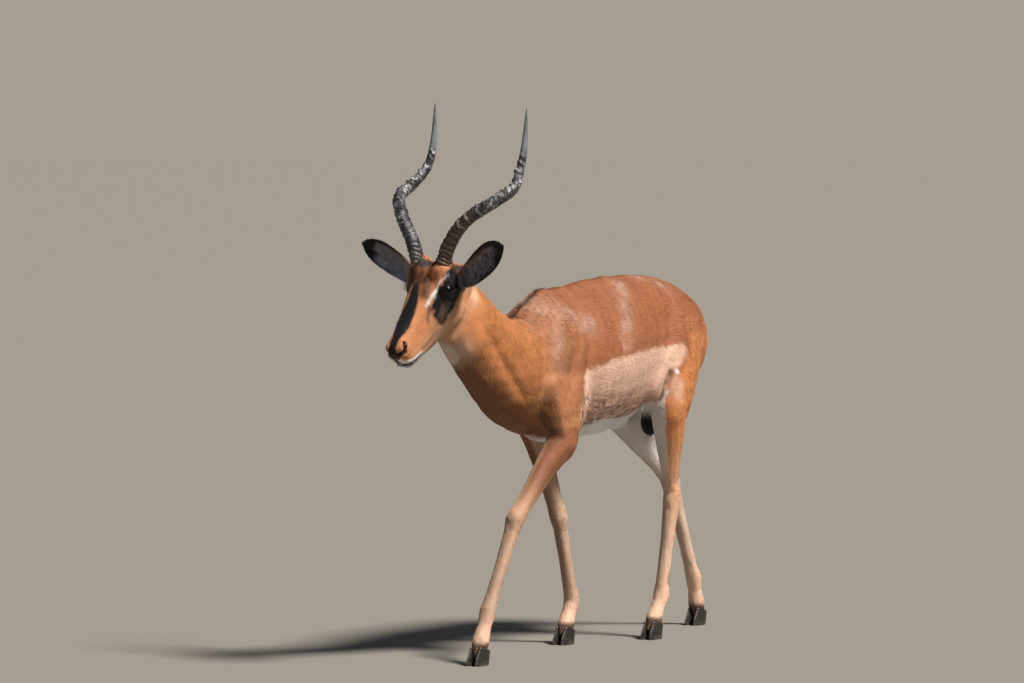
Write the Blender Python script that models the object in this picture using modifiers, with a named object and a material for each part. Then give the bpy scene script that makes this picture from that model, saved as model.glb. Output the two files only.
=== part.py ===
"""Black-faced impala ram, walking with its head held low, as a still life-size museum model.

The animal faces -Y, its left side is +X, and the floor is z = 0.  The whole body is one soft
form, made of lofted masses that are fused and thinned out, and thin cuts then part it into the
pieces that a person would name.  Horns, ears, eyes and hooves are solids of their own.
Sizes are in metres, to the tips of the coat.
"""
import math

import bmesh
import bpy
import numpy as np
from mathutils import Matrix, Vector

# ---------------------------------------------------------------- driving dimensions
GAP = 0.0003                    # free space between neighbouring pieces
BODY_VOXEL = 0.0055             # grain at which the body masses are fused
FINE_FACES = 10000              # triangles on the fused body while it is evenly thinned
BODY_FACES = 4000               # triangles once all but the head is thinned further

HEAD_YAW = math.radians(11)     # head turned to its own right
HEAD_PITCH = math.radians(53)   # face line below the horizontal
BROW = Vector((-0.020, -0.694, 0.880))    # midline of the skull between the horns
STAND = Vector((0.0190, 0.1214, 0.0))     # brings the middle of the finished box over the origin

EYE_RADIUS = 0.0185
EYE_FORWARD, EYE_OUT, EYE_DOWN = 0.043, 0.0455, 0.031    # middle of each eye, measured from the brow
HORN_RINGS = 18
HORN_BASE_RADIUS = 0.0162
HOOF_HEIGHT = 0.036
CLAW_SPREAD = 0.0105            # middle of a foot to the middle of each claw

# Joints of each leg from the trunk down to the coronet, with the foot flat at z = 0.
LEG_JOINTS = {
    "fore_left": [(0.074, -0.325, 0.625), (0.088, -0.302, 0.485), (0.066, -0.474, 0.313),
                  (0.054, -0.574, 0.118), (0.052, -0.606, 0.040)],
    "fore_right": [(-0.074, -0.265, 0.625), (-0.084, -0.125, 0.490), (-0.056, -0.064, 0.290),
                   (-0.047, -0.022, 0.097), (-0.046, -0.052, 0.036)],
    "hind_left": [(0.070, 0.250, 0.735), (0.098, 0.165, 0.545), (0.078, 0.226, 0.318),
                  (0.062, 0.203, 0.098), (0.060, 0.170, 0.036)],
    "hind_right": [(-0.070, 0.265, 0.735), (-0.094, 0.245, 0.535), (-0.050, 0.452, 0.345),
                   (-0.038, 0.542, 0.112), (-0.037, 0.560, 0.040)],
}
# Along each leg: (segment, share of it, half width, front radius, back radius).
FORE_SECTIONS = [
    (0, 0.00, 0.024, 0.040, 0.050), (0, 0.55, 0.032, 0.047, 0.066), (1, 0.00, 0.032, 0.040, 0.048),
    (1, 0.18, 0.028, 0.033, 0.036), (1, 0.45, 0.023, 0.026, 0.026), (1, 0.80, 0.019, 0.020, 0.020),
    (1, 1.00, 0.021, 0.022, 0.021), (2, 0.14, 0.017, 0.017, 0.018), (2, 0.45, 0.015, 0.015, 0.017),
    (2, 0.82, 0.015, 0.015, 0.018), (2, 1.00, 0.018, 0.017, 0.022), (3, 0.40, 0.016, 0.015, 0.017),
    (3, 0.80, 0.019, 0.020, 0.019), (3, 1.02, 0.018, 0.019, 0.018), (3, 1.35, 0.013, 0.015, 0.013),
]
HIND_SECTIONS = [
    (0, 0.00, 0.048, 0.070, 0.090), (0, 0.45, 0.052, 0.072, 0.105), (1, 0.00, 0.042, 0.040, 0.088),
    (1, 0.22, 0.036, 0.036, 0.062), (1, 0.50, 0.027, 0.029, 0.038), (1, 0.80, 0.017, 0.020, 0.027),
    (1, 1.00, 0.020, 0.022, 0.027), (2, 0.12, 0.018, 0.020, 0.022), (2, 0.40, 0.015, 0.016, 0.018),
    (2, 0.82, 0.015, 0.015, 0.018), (2, 1.00, 0.018, 0.017, 0.022), (3, 0.40, 0.016, 0.015, 0.017),
    (3, 0.80, 0.019, 0.020, 0.019), (3, 1.02, 0.018, 0.019, 0.018), (3, 1.35, 0.013, 0.015, 0.013),
]
# Trunk, rump to breast: (y, height of the middle, half width, up, down, fullness above, below).
TRUNK_SECTIONS = [
    (0.425, 0.680, 0.040, 0.060, 0.060, 2.0, 2.0), (0.400, 0.680, 0.078, 0.092, 0.095, 2.0, 2.0),
    (0.355, 0.680, 0.100, 0.120, 0.115, 2.1, 2.0), (0.290, 0.680, 0.112, 0.142, 0.118, 2.1, 2.0),
    (0.215, 0.685, 0.110, 0.149, 0.135, 2.1, 2.0), (0.130, 0.685, 0.108, 0.153, 0.165, 2.1, 2.0),
    (0.050, 0.675, 0.117, 0.162, 0.182, 2.0, 2.0), (-0.030, 0.665, 0.124, 0.168, 0.187, 1.9, 2.0),
    (-0.110, 0.655, 0.120, 0.167, 0.182, 1.8, 1.9), (-0.180, 0.650, 0.108, 0.170, 0.180, 1.7, 1.9),
    (-0.245, 0.645, 0.096, 0.174, 0.174, 1.6, 1.9), (-0.305, 0.640, 0.080, 0.150, 0.158, 1.8, 1.9),
    (-0.350, 0.630, 0.058, 0.110, 0.118, 2.0, 2.0), (-0.378, 0.620, 0.030, 0.060, 0.070, 2.0, 2.0),
]
# Neck, chest to poll: (x, y, z of the middle, half width, up, down).
NECK_SECTIONS = [
    (0.000, -0.230, 0.640, 0.085, 0.155, 0.140), (0.000, -0.300, 0.642, 0.088, 0.148, 0.152),
    (0.000, -0.375, 0.652, 0.080, 0.119, 0.142), (0.000, -0.440, 0.680, 0.070, 0.086, 0.130),
    (-0.002, -0.505, 0.722, 0.062, 0.073, 0.120), (-0.006, -0.562, 0.765, 0.056, 0.070, 0.110),
    (-0.012, -0.605, 0.795, 0.050, 0.064, 0.095), (-0.016, -0.635, 0.808, 0.040, 0.050, 0.070),
]
# Head, occiput to nose, in its own frame: (forward, height of the middle, half width, up, down, fullness).
HEAD_SECTIONS = [
    (-0.062, -0.098, 0.024, 0.022, 0.026, 2.0), (-0.048, -0.086, 0.040, 0.034, 0.036, 2.0),
    (-0.026, -0.070, 0.049, 0.052, 0.052, 2.0), (0.002, -0.062, 0.053, 0.063, 0.065, 2.1),
    (0.032, -0.058, 0.055, 0.064, 0.068, 2.3), (0.062, -0.055, 0.051, 0.064, 0.067, 2.4),
    (0.092, -0.050, 0.043, 0.058, 0.069, 2.3), (0.122, -0.046, 0.037, 0.052, 0.066, 2.2),
    (0.152, -0.043, 0.033, 0.047, 0.058, 2.3), (0.180, -0.041, 0.030, 0.044, 0.047, 2.4),
    (0.204, -0.040, 0.029, 0.041, 0.038, 2.5), (0.221, -0.038, 0.025, 0.035, 0.033, 2.5),
    (0.231, -0.036, 0.015, 0.023, 0.022, 2.2),
]
# Horn, from the brow: (forward, out, up), level with the horizon and along the head's heading.
HORN_CURVE = [
    (0.000, 0.030, -0.020), (-0.001, 0.051, 0.045), (-0.012, 0.092, 0.102), (-0.055, 0.139, 0.144),
    (-0.106, 0.146, 0.170), (-0.142, 0.134, 0.208), (-0.160, 0.132, 0.262), (-0.167, 0.133, 0.345),
]
HORN_REACH = {1: (1.00, 1.00), -1: (1.02, 1.03)}    # how far out and up: the right horn is a little longer
# Ear, root to tip: (forward, out, up, half width, depth of the cup, thickness).
EAR_CURVE = [
    (-0.036, 0.042, -0.038, 0.013, 0.010, 0.024), (-0.032, 0.064, -0.031, 0.016, 0.014, 0.022),
    (-0.027, 0.088, -0.019, 0.024, 0.019, 0.010), (-0.020, 0.120, 0.001, 0.030, 0.018, 0.0050),
    (-0.012, 0.158, 0.024, 0.031, 0.013, 0.0042), (-0.007, 0.188, 0.040, 0.021, 0.007, 0.0036),
    (-0.005, 0.205, 0.047, 0.003, 0.002, 0.0030),
]
EAR_SHARE = {1: 1.05, -1: 0.90}  # breadth of the left and right ear: the right one is folded closer
TAIL_CURVE = [
    (0.0, 0.370, 0.755, 0.024, 0.022), (0.0, 0.415, 0.757, 0.022, 0.018), (-0.001, 0.449, 0.733, 0.021, 0.014),
    (-0.004, 0.461, 0.690, 0.022, 0.012), (-0.012, 0.460, 0.630, 0.025, 0.012),
    (-0.021, 0.456, 0.570, 0.027, 0.013), (-0.028, 0.452, 0.520, 0.020, 0.011),
    (-0.033, 0.452, 0.485, 0.007, 0.006),
]

# ---------------------------------------------------------------- the head's frame
HEADING = Vector((-math.sin(HEAD_YAW), -math.cos(HEAD_YAW), 0.0))
HEAD_LEFT = Vector((math.cos(HEAD_YAW), -math.sin(HEAD_YAW), 0.0))
WORLD_UP = Vector((0.0, 0.0, 1.0))
FACE_FORWARD = HEADING * math.cos(HEAD_PITCH) - WORLD_UP * math.sin(HEAD_PITCH)
FACE_UP = HEADING * math.sin(HEAD_PITCH) + WORLD_UP * math.cos(HEAD_PITCH)


def on_face(forward, left, up):
    """A place in the head's own frame, measured from the brow."""
    return BROW + FACE_FORWARD * forward + HEAD_LEFT * left + FACE_UP * up


def on_heading(forward, left, up):
    """A place measured from the brow with the horizon level."""
    return BROW + HEADING * forward + HEAD_LEFT * left + WORLD_UP * up


# ---------------------------------------------------------------- making shapes
def clear_scene():
    for obj in list(bpy.data.objects):
        bpy.data.objects.remove(obj, do_unlink=True)


def new_collection(name):
    collection = bpy.data.collections.new(name)
    bpy.context.scene.collection.children.link(collection)
    return collection


def finish(name, red, green, blue, roughness):
    """A plain finish for one kind of surface."""
    material = bpy.data.materials.new(name)
    material.use_nodes = True
    shader = material.node_tree.nodes["Principled BSDF"]
    shader.inputs["Base Color"].default_value = (red, green, blue, 1.0)
    shader.inputs["Roughness"].default_value = roughness
    shader.inputs["Metallic"].default_value = 0.0
    return material


def smooth_rows(rows, steps):
    """Rows of numbers eased into `steps` rows per gap, passing through each of the given ones."""
    rows = np.array(rows, dtype=float)
    padded = np.vstack([2 * rows[0] - rows[1], rows, 2 * rows[-1] - rows[-2]])
    out = []
    for i in range(1, len(padded) - 2):
        p0, p1, p2, p3 = padded[i - 1:i + 3]
        for step in range(steps):
            t = step / steps
            out.append(0.5 * (2 * p1 + (p2 - p0) * t + (2 * p0 - 5 * p1 + 4 * p2 - p3) * t ** 2
                              + (3 * p1 - p0 - 3 * p2 + p3) * t ** 3))
    out.append(rows[-1])
    return np.array(out)


def loft_mesh(name, rings):
    """A closed skin over rings of equal count, capped at both ends."""
    mesh_builder = bmesh.new()
    loops = [[mesh_builder.verts.new(point) for point in ring] for ring in rings]
    for lower, upper in zip(loops, loops[1:]):
        for i in range(len(lower)):
            j = (i + 1) % len(lower)
            mesh_builder.faces.new((lower[i], lower[j], upper[j], upper[i]))
    mesh_builder.faces.new(list(reversed(loops[0])))
    mesh_builder.faces.new(loops[-1])
    bmesh.ops.recalc_face_normals(mesh_builder, faces=mesh_builder.faces)
    mesh = bpy.data.meshes.new(name)
    mesh_builder.to_mesh(mesh)
    mesh_builder.free()
    return mesh


def section(centre, side, up, half_width, above, below, full_above=2.0, full_below=2.0, sides=28):
    """One ring: an oval whose upper and lower halves have their own height and fullness."""
    ring = []
    for i in range(sides):
        angle = 2 * math.pi * i / sides
        across, rise = math.cos(angle), math.sin(angle)
        fullness = full_above if rise > 0 else full_below
        height = above if rise > 0 else below
        x = half_width * math.copysign(abs(across) ** (2 / fullness), across)
        y = height * math.copysign(abs(rise) ** (2 / fullness), rise)
        ring.append(centre + side * x + up * y)
    return ring


def body_loft(name, centres, sizes, side=Vector((1, 0, 0)), sides=28):
    """A loft whose rings stand square to its own path; sizes are rows for section()."""
    centres = [Vector(c) for c in centres]
    rings = []
    for i, centre in enumerate(centres):
        along = (centres[min(i + 1, len(centres) - 1)] - centres[max(i - 1, 0)]).normalized()
        across = (side - along * side.dot(along)).normalized()
        rings.append(section(centre, across, along.cross(across), *sizes[i], sides=sides))
    return loft_mesh(name, rings)


def ball(name, centre, radii, axes=None, segments=20):
    """An ellipsoid with its radii along the given axes."""
    mesh_builder = bmesh.new()
    bmesh.ops.create_uvsphere(mesh_builder, u_segments=segments, v_segments=segments // 2, radius=1.0)
    frame = Matrix(axes).transposed() if axes else Matrix.Identity(3)
    transform = Matrix.Translation(centre) @ frame.to_4x4() @ Matrix.Diagonal((*radii, 1.0))
    bmesh.ops.transform(mesh_builder, matrix=transform, verts=mesh_builder.verts)
    mesh = bpy.data.meshes.new(name)
    mesh_builder.to_mesh(mesh)
    mesh_builder.free()
    return mesh


def rod(name, start, end, start_radii, end_radii, side=Vector((1, 0, 0))):
    """A tapered oval mass with round ends, as a muscle has."""
    start, end = Vector(start), Vector(end)
    centres, sizes = [], []
    for step in range(13):
        t = step / 12
        swell = math.sin(math.pi * min(max(t * 0.9 + 0.05, 0.0), 1.0)) ** 0.5
        radii = [a + (b - a) * t for a, b in zip(start_radii, end_radii)]
        centres.append(start.lerp(end, t))
        sizes.append((radii[0] * swell, radii[1] * swell, radii[1] * swell))
    return body_loft(name, centres, sizes, side)


# ---------------------------------------------------------------- the masses of the body
def trunk_masses():
    rows = smooth_rows(TRUNK_SECTIONS, 5)
    yield body_loft("trunk", [(0, r[0], r[1]) for r in rows], [r[2:] for r in rows])
    rows = smooth_rows(NECK_SECTIONS, 5)
    yield body_loft("neck", [r[:3] for r in rows], [r[3:] for r in rows])
    for side, hand in (("left", 1), ("right", -1)):
        shoulder, elbow = [Vector(p) for p in LEG_JOINTS["fore_" + side][:2]]
        hip, knee = [Vector(p) for p in LEG_JOINTS["hind_" + side][:2]]
        yield rod("blade", (0.046 * hand, -0.185, 0.775), shoulder, (0.030, 0.055), (0.036, 0.060))
        yield rod("triceps", (0.068 * hand, -0.165, 0.665), elbow + Vector((0, 0.018, 0.005)),
                  (0.032, 0.062), (0.034, 0.046))
        yield rod("haunch", hip + Vector((0.000, 0.010, 0.050)), knee + Vector((0, 0.045, -0.020)),
                  (0.044, 0.100), (0.042, 0.078))
        yield rod("buttock", (0.045 * hand, 0.362, 0.740), knee + Vector((-0.006 * hand, 0.072, -0.045)),
                  (0.044, 0.050), (0.030, 0.042))
        yield rod("flank", (0.085 * hand, 0.110, 0.640), knee + Vector((-0.010 * hand, -0.002, -0.020)),
                  (0.022, 0.045), (0.022, 0.034))
    yield ball("sheath", Vector((0, 0.100, 0.505)), (0.022, 0.055, 0.022))
    rows = smooth_rows(TAIL_CURVE, 5)
    yield body_loft("tail", [r[:3] for r in rows], [(r[3], r[4], r[4]) for r in rows])
    yield ball("scrotum", Vector((0, 0.262, 0.495)), (0.0215, 0.026, 0.036))
    yield rod("scrotum_neck", (0, 0.262, 0.600), (0, 0.262, 0.490), (0.018, 0.022), (0.018, 0.022))


def leg_mass(leg):
    """One leg, lofted along its bones from the shoulder or hip to the foot."""
    joints = [Vector(p) for p in LEG_JOINTS[leg]]
    table = FORE_SECTIONS if leg.startswith("fore") else HIND_SECTIONS
    rows = []
    for segment, share, half_width, front, back in table:
        place = joints[segment].lerp(joints[segment + 1], share)
        rows.append((*place, half_width, front, back))
    rows = smooth_rows(rows, 6)
    yield body_loft(leg, [r[:3] for r in rows], [r[3:] for r in rows], sides=24)
    if leg.startswith("hind"):
        knee, hock, fetlock = joints[1:4]
        back_of_hock = (hock - fetlock).normalized().cross(Vector((1, 0, 0))) * -1
        point = hock + back_of_hock * 0.020 + (hock - fetlock).normalized() * 0.022
        below = hock + back_of_hock * 0.012 - Vector((0, 0, 0.030))
        calf = knee.lerp(hock, 0.45) + back_of_hock * 0.024
        yield rod("heel", below, point, (0.011, 0.012), (0.011, 0.012))
        yield rod("tendon", point, calf, (0.009, 0.010), (0.010, 0.014))


def head_masses():
    rows = smooth_rows(HEAD_SECTIONS, 5)
    rings = []
    for forward, up, half_width, above, below, fullness in rows:
        rings.append(section(on_face(forward, 0, up), HEAD_LEFT, FACE_UP, half_width, above, below,
                             fullness, 2.0))
    yield loft_mesh("skull", rings)
    axes = (FACE_FORWARD, HEAD_LEFT, FACE_UP)
    for hand in (1, -1):
        yield ball("brow", on_face(0.031, 0.041 * hand, -0.021), (0.030, 0.019, 0.023), axes)
        yield ball("cheek", on_face(0.050, 0.032 * hand, -0.084), (0.052, 0.019, 0.032), axes)
        yield ball("pedicle", on_face(-0.006, 0.031 * hand, -0.007), (0.024, 0.020, 0.022), axes)
        yield ball("horn_foot", on_heading(0.004, 0.033 * hand, -0.012), (0.024, 0.023, 0.026))
        yield ball("nostril", on_face(0.207, 0.017 * hand, -0.018), (0.019, 0.013, 0.015), axes)
        yield ball("ear_root", on_heading(-0.040, 0.045 * hand, -0.042), (0.019, 0.019, 0.019))
    yield ball("chin", on_face(0.199, 0, -0.066), (0.026, 0.019, 0.013), axes)


def fuse_body(collection):
    """All masses as one skin: fused, smoothed and thinned to the number of faces it keeps."""
    joined = bmesh.new()
    meshes = list(trunk_masses()) + list(head_masses())
    for leg in LEG_JOINTS:
        meshes += list(leg_mass(leg))
    for mesh in meshes:
        joined.from_mesh(mesh)
        bpy.data.meshes.remove(mesh)
    mesh = bpy.data.meshes.new("body")
    joined.to_mesh(mesh)
    joined.free()
    body = bpy.data.objects.new("body", mesh)
    collection.objects.link(body)
    remesh = body.modifiers.new("fuse", "REMESH")
    remesh.mode = "VOXEL"
    remesh.voxel_size = BODY_VOXEL
    bake_modifiers(body)
    soft = body.vertex_groups.new(name="soft")
    for vertex in body.data.vertices:
        height = vertex.co.z
        head = (vertex.co - on_face(0.10, 0, -0.05)).length < 0.17
        softness = 0.18 if head else min(max((height - 0.40) / 0.12, 0.12), 1.0)
        soft.add([vertex.index], softness, "REPLACE")
    ease = body.modifiers.new("ease", "SMOOTH")
    ease.factor = 0.5
    ease.iterations = 22
    ease.vertex_group = "soft"
    bake_modifiers(body)
    thin_out(body, FINE_FACES)
    keep = body.vertex_groups.new(name="plain")
    for vertex in body.data.vertices:
        fine = (vertex.co - on_face(0.10, 0, -0.05)).length < 0.17
        keep.add([vertex.index], 0.0 if fine else 1.0, "REPLACE")
    thin_out(body, BODY_FACES, "plain")
    return body


def thin_out(obj, faces, group=""):
    """Reduces a mesh to about this many triangles, only where the group's weight is above zero."""
    obj.data.calc_loop_triangles()
    thin = obj.modifiers.new("thin", "DECIMATE")
    thin.ratio = faces / len(obj.data.loop_triangles)
    thin.vertex_group = group
    thin.vertex_group_factor = 0.0
    bake_modifiers(obj)


def bake_modifiers(obj):
    """Turns the object's modifiers into plain mesh."""
    graph = bpy.context.evaluated_depsgraph_get()
    graph.update()
    mesh = bpy.data.meshes.new_from_object(obj.evaluated_get(graph), depsgraph=graph)
    obj.modifiers.clear()
    old = obj.data
    obj.data = mesh
    bpy.data.meshes.remove(old)


# ---------------------------------------------------------------- pieces beside the body
def horn(hand):
    """A lyre-shaped horn, ringed for two thirds of its length, then smooth to the tip."""
    curve = smooth_rows(HORN_CURVE, 24)
    lengths = np.concatenate([[0], np.cumsum(np.linalg.norm(np.diff(curve, axis=0), axis=1))])
    lengths /= lengths[-1]
    shares = [ringed * 0.68 / (2 * HORN_RINGS) for ringed in range(2 * HORN_RINGS)]
    shares += [0.68 + 0.32 * step / 5 for step in range(6)]
    centres, sizes = [], []
    for i, share in enumerate(shares):
        forward, out, up = [np.interp(share, lengths, curve[:, k]) for k in range(3)]
        taper = HORN_BASE_RADIUS * (1 - 0.30 * share) * (1 - share ** 3.2) ** 0.8 + 0.0006
        ring = (1.07 if i % 2 else 0.93) if share < 0.68 else 1.0
        wide, tall = HORN_REACH[hand]
        centres.append(on_heading(forward, out * wide * hand, up * tall))
        sizes.append((taper * ring * 0.94, taper * ring * 1.06, taper * ring * 1.06))
    return body_loft("horn", centres, sizes, side=HEAD_LEFT, sides=9)


def ear(hand):
    """A leaf-shaped ear, cupped with its hollow to the front and solid at its root."""
    rows = smooth_rows(EAR_CURVE, 2)
    middle = [on_heading(r[0], r[1] * hand, r[2]) for r in rows]
    rings = []
    for i, row in enumerate(rows):
        half_width, depth, thickness = row[3] * EAR_SHARE[hand], row[4], row[5]
        along = (middle[min(i + 1, len(rows) - 1)] - middle[max(i - 1, 0)]).normalized()
        front = (HEADING - along * HEADING.dot(along)).normalized()
        across = along.cross(front)
        ring = []
        shares = [-1 + 2 * k / 6 for k in range(7)]
        for share in shares:
            ring.append(middle[i] + across * half_width * share - front * depth * (1 - share ** 2))
        for share in reversed(shares):
            lift = depth * (1 - share ** 2) - thickness * (1 - 0.5 * share ** 2)
            ring.append(middle[i] + across * half_width * share * 0.97 - front * lift)
        rings.append(ring)
    return loft_mesh("ear", rings)


def claw(leg, hand):
    """One half of a cloven hoof: a pointed wedge with a flat sole on the floor."""
    foot = Vector(LEG_JOINTS[leg][4])
    rings = []
    for level, length, width, shift in [(0.0, 0.056, 0.0185, -0.012), (0.35, 0.053, 0.0190, -0.009),
                                        (0.75, 0.043, 0.0188, -0.003), (1.0, 0.037, 0.0180, 0.001)]:
        ring = []
        for i in range(12):
            angle = 2 * math.pi * i / 12
            toe = math.cos(angle)
            out = math.sin(angle) * width / 2 * (1 - 0.30 * toe)
            out = out if out > 0 else out * 0.75
            height = HOOF_HEIGHT * level * (1 + 0.16 * toe)
            across = foot.x + hand * (CLAW_SPREAD + out)
            ring.append(Vector((across, foot.y + shift - length / 2 * toe, height)))
        rings.append(ring)
    return loft_mesh("claw", rings)


def add_object(name, mesh, collection, material=None):
    obj = bpy.data.objects.new(name, mesh)
    collection.objects.link(obj)
    if material:
        mesh.materials.clear()
        mesh.materials.append(material)
    return obj


def subtract(obj, cutter):
    """Cuts one object with another and keeps the result as plain mesh."""
    boolean = obj.modifiers.new("cut", "BOOLEAN")
    boolean.operation = "DIFFERENCE"
    boolean.solver = "EXACT"
    boolean.object = cutter
    bake_modifiers(obj)


def grown(source, name, cutters, by=GAP):
    """A copy of a solid that stands out a little, to cut its neighbours with."""
    cutter = add_object(name, source.data.copy(), cutters)
    swell = cutter.modifiers.new("swell", "DISPLACE")
    swell.mid_level = 0.0
    swell.strength = by
    bake_modifiers(cutter)
    cutter.hide_render = True
    cutter.display_type = "WIRE"
    return cutter


# ---------------------------------------------------------------- parting the body
def slab(name, middle, normal, half_width, half_height, cutters):
    """A thin upright or level blade, square to the normal, that parts the body where it passes."""
    blade = bmesh.new()
    bmesh.ops.create_cube(blade, size=1.0)
    normal = Vector(normal).normalized()
    across = Vector((1, 0, 0))
    up = normal.cross(across).normalized()
    turn = Matrix((across, up, normal)).transposed().to_4x4()
    size = Matrix.Diagonal((2 * half_width, 2 * half_height, GAP, 1.0))
    bmesh.ops.transform(blade, matrix=Matrix.Translation(middle) @ turn @ size, verts=blade.verts)
    mesh = bpy.data.meshes.new(name)
    blade.to_mesh(mesh)
    blade.free()
    cutter = add_object(name, mesh, cutters)
    cutter.hide_render = True
    cutter.display_type = "WIRE"
    return cutter


def part_body(body, cutters):
    """Parts the body at neck, tail and legs."""
    slabs = [
        ("cut_head", (0, -0.590, 0.775), (0, -1, 0.04), 0.12, 0.175),
        ("cut_neck", (0, -0.366, 0.675), (0, -0.867, 0.499), 0.15, 0.205),
        ("cut_tail", (0, 0.4500, 0.733), (0, 0.45, -0.89), 0.035, 0.024),
        ("cut_scrotum", (0, 0.262, 0.540), (0, 0, 1), 0.030, 0.038),
    ]
    for leg, joints in LEG_JOINTS.items():
        top, knee = Vector(joints[1]), Vector(joints[2])
        height = 0.452 if leg.startswith("fore") else 0.505
        share = (top.z - height) / (top.z - knee.z)
        root = top.lerp(knee, share)
        half_height = 0.075 if leg.startswith("fore") else 0.130
        slabs.append((f"cut_{leg}", (root.x, root.y, height), (0, 0, 1), 0.062, half_height))
        slabs.append((f"cut_{leg}_joint", knee, (0, 0, 1), 0.040, 0.055))
    for name, middle, normal, half_width, half_height in slabs:
        subtract(body, slab(name, middle, normal, half_width, half_height, cutters))


def loose_pieces(obj):
    """The separate shells of a mesh, each as a mesh of its own."""
    source = bmesh.new()
    source.from_mesh(obj.data)
    source.verts.ensure_lookup_table()
    seen, shells = set(), []
    for start in source.verts:
        if start.index in seen:
            continue
        stack, shell = [start], set()
        seen.add(start.index)
        while stack:
            vertex = stack.pop()
            shell.add(vertex.index)
            for edge in vertex.link_edges:
                other = edge.other_vert(vertex)
                if other.index not in seen:
                    seen.add(other.index)
                    stack.append(other)
        shells.append(shell)
    meshes = []
    for shell in shells:
        piece = source.copy()
        piece.verts.ensure_lookup_table()
        others = [v for v in piece.verts if v.index not in shell]
        bmesh.ops.delete(piece, geom=others, context="VERTS")
        mesh = bpy.data.meshes.new("piece")
        piece.to_mesh(mesh)
        piece.free()
        meshes.append(mesh)
    source.free()
    return meshes


def piece_places():
    """A point well inside each piece that the cuts leave."""
    places = {
        "head": on_face(0.05, 0, -0.05), "neck": Vector((0, -0.48, 0.70)), "trunk": Vector((0, 0.05, 0.67)),
        "tail": Vector((-0.015, 0.458, 0.600)), "scrotum": Vector((0, 0.262, 0.500)),
    }
    for leg, joints in LEG_JOINTS.items():
        places[f"leg_{leg}_upper"] = Vector(joints[1]).lerp(Vector(joints[2]), 0.62)
        places[f"leg_{leg}_lower"] = Vector(joints[2]).lerp(Vector(joints[3]), 0.55)
    return places


# ---------------------------------------------------------------- run
def main():
    clear_scene()
    parts = new_collection("impala")
    cutters = new_collection("cutters")
    coat = finish("short coat", 0.50, 0.22, 0.09, 0.75)
    keratin = finish("horn", 0.05, 0.045, 0.04, 0.55)
    hoof_horn = finish("hoof horn", 0.03, 0.027, 0.025, 0.50)
    wet_eye = finish("wet eye", 0.02, 0.012, 0.008, 0.08)

    body = fuse_body(parts)
    for side, hand in (("left", 1), ("right", -1)):
        middle = on_face(EYE_FORWARD, EYE_OUT * hand, -EYE_DOWN)
        eyeball = ball("eye", middle, (EYE_RADIUS,) * 3, segments=12)
        eye = add_object(f"eye_{side}", eyeball, parts, wet_eye)
        subtract(body, grown(eye, f"socket_{side}", cutters))
    around_body = grown(body, "around_body", cutters, by=2 * GAP)
    for side, hand in (("left", 1), ("right", -1)):
        subtract(add_object(f"horn_{side}", horn(hand), parts, keratin), around_body)
        subtract(add_object(f"ear_{side}", ear(hand), parts, coat), around_body)
    for leg in LEG_JOINTS:
        for side, hand in (("left", 1), ("right", -1)):
            toe = add_object(f"hoof_{leg}_{side}", claw(leg, hand), parts, hoof_horn)
            subtract(body, grown(toe, f"around_{leg}_{side}", cutters))
    part_body(body, cutters)

    places = piece_places()
    for mesh in loose_pieces(body):
        centre = sum((v.co for v in mesh.vertices), Vector()) / len(mesh.vertices)
        name = min(places, key=lambda key: (places[key] - centre).length)
        add_object(name, mesh, parts, coat)
        places.pop(name)
    bpy.data.objects.remove(body, do_unlink=True)
    for obj in list(parts.objects) + list(cutters.objects):
        obj.data.transform(Matrix.Translation(STAND))


main()
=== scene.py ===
import math

import bmesh
import bpy
import numpy as np
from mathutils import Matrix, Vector


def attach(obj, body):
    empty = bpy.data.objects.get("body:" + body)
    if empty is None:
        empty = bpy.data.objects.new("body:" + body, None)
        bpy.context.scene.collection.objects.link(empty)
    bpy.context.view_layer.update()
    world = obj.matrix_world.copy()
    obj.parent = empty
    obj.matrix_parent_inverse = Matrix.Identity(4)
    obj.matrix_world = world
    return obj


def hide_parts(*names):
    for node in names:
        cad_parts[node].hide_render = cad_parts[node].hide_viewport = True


# A black-faced impala ram, life size, walking with its head low.  One fine skin lies a coat's depth inside
# the parted solids; short tufts lie along it and carry the same markings.  Metres; it faces -Y, left is +X.
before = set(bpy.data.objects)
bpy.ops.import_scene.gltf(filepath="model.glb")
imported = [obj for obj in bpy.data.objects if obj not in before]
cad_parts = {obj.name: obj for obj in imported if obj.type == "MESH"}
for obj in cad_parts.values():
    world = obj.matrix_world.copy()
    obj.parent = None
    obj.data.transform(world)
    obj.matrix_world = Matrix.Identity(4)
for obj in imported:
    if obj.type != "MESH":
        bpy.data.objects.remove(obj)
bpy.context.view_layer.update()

# ---------------------------------------------------------------- the animal's frame, as in its solids
STAND = np.array((0.0190, 0.1214, 0.0))
HEAD_YAW, HEAD_PITCH = math.radians(11), math.radians(53)
BROW = np.array((-0.020, -0.694, 0.880)) + STAND
HEADING = np.array((-math.sin(HEAD_YAW), -math.cos(HEAD_YAW), 0.0))
HEAD_LEFT = np.array((math.cos(HEAD_YAW), -math.sin(HEAD_YAW), 0.0))
UP = np.array((0.0, 0.0, 1.0))
FACE_FORWARD = HEADING * math.cos(HEAD_PITCH) - UP * math.sin(HEAD_PITCH)
FACE_UP = HEADING * math.sin(HEAD_PITCH) + UP * math.cos(HEAD_PITCH)
SIDES = (("left", 1), ("right", -1))

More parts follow.
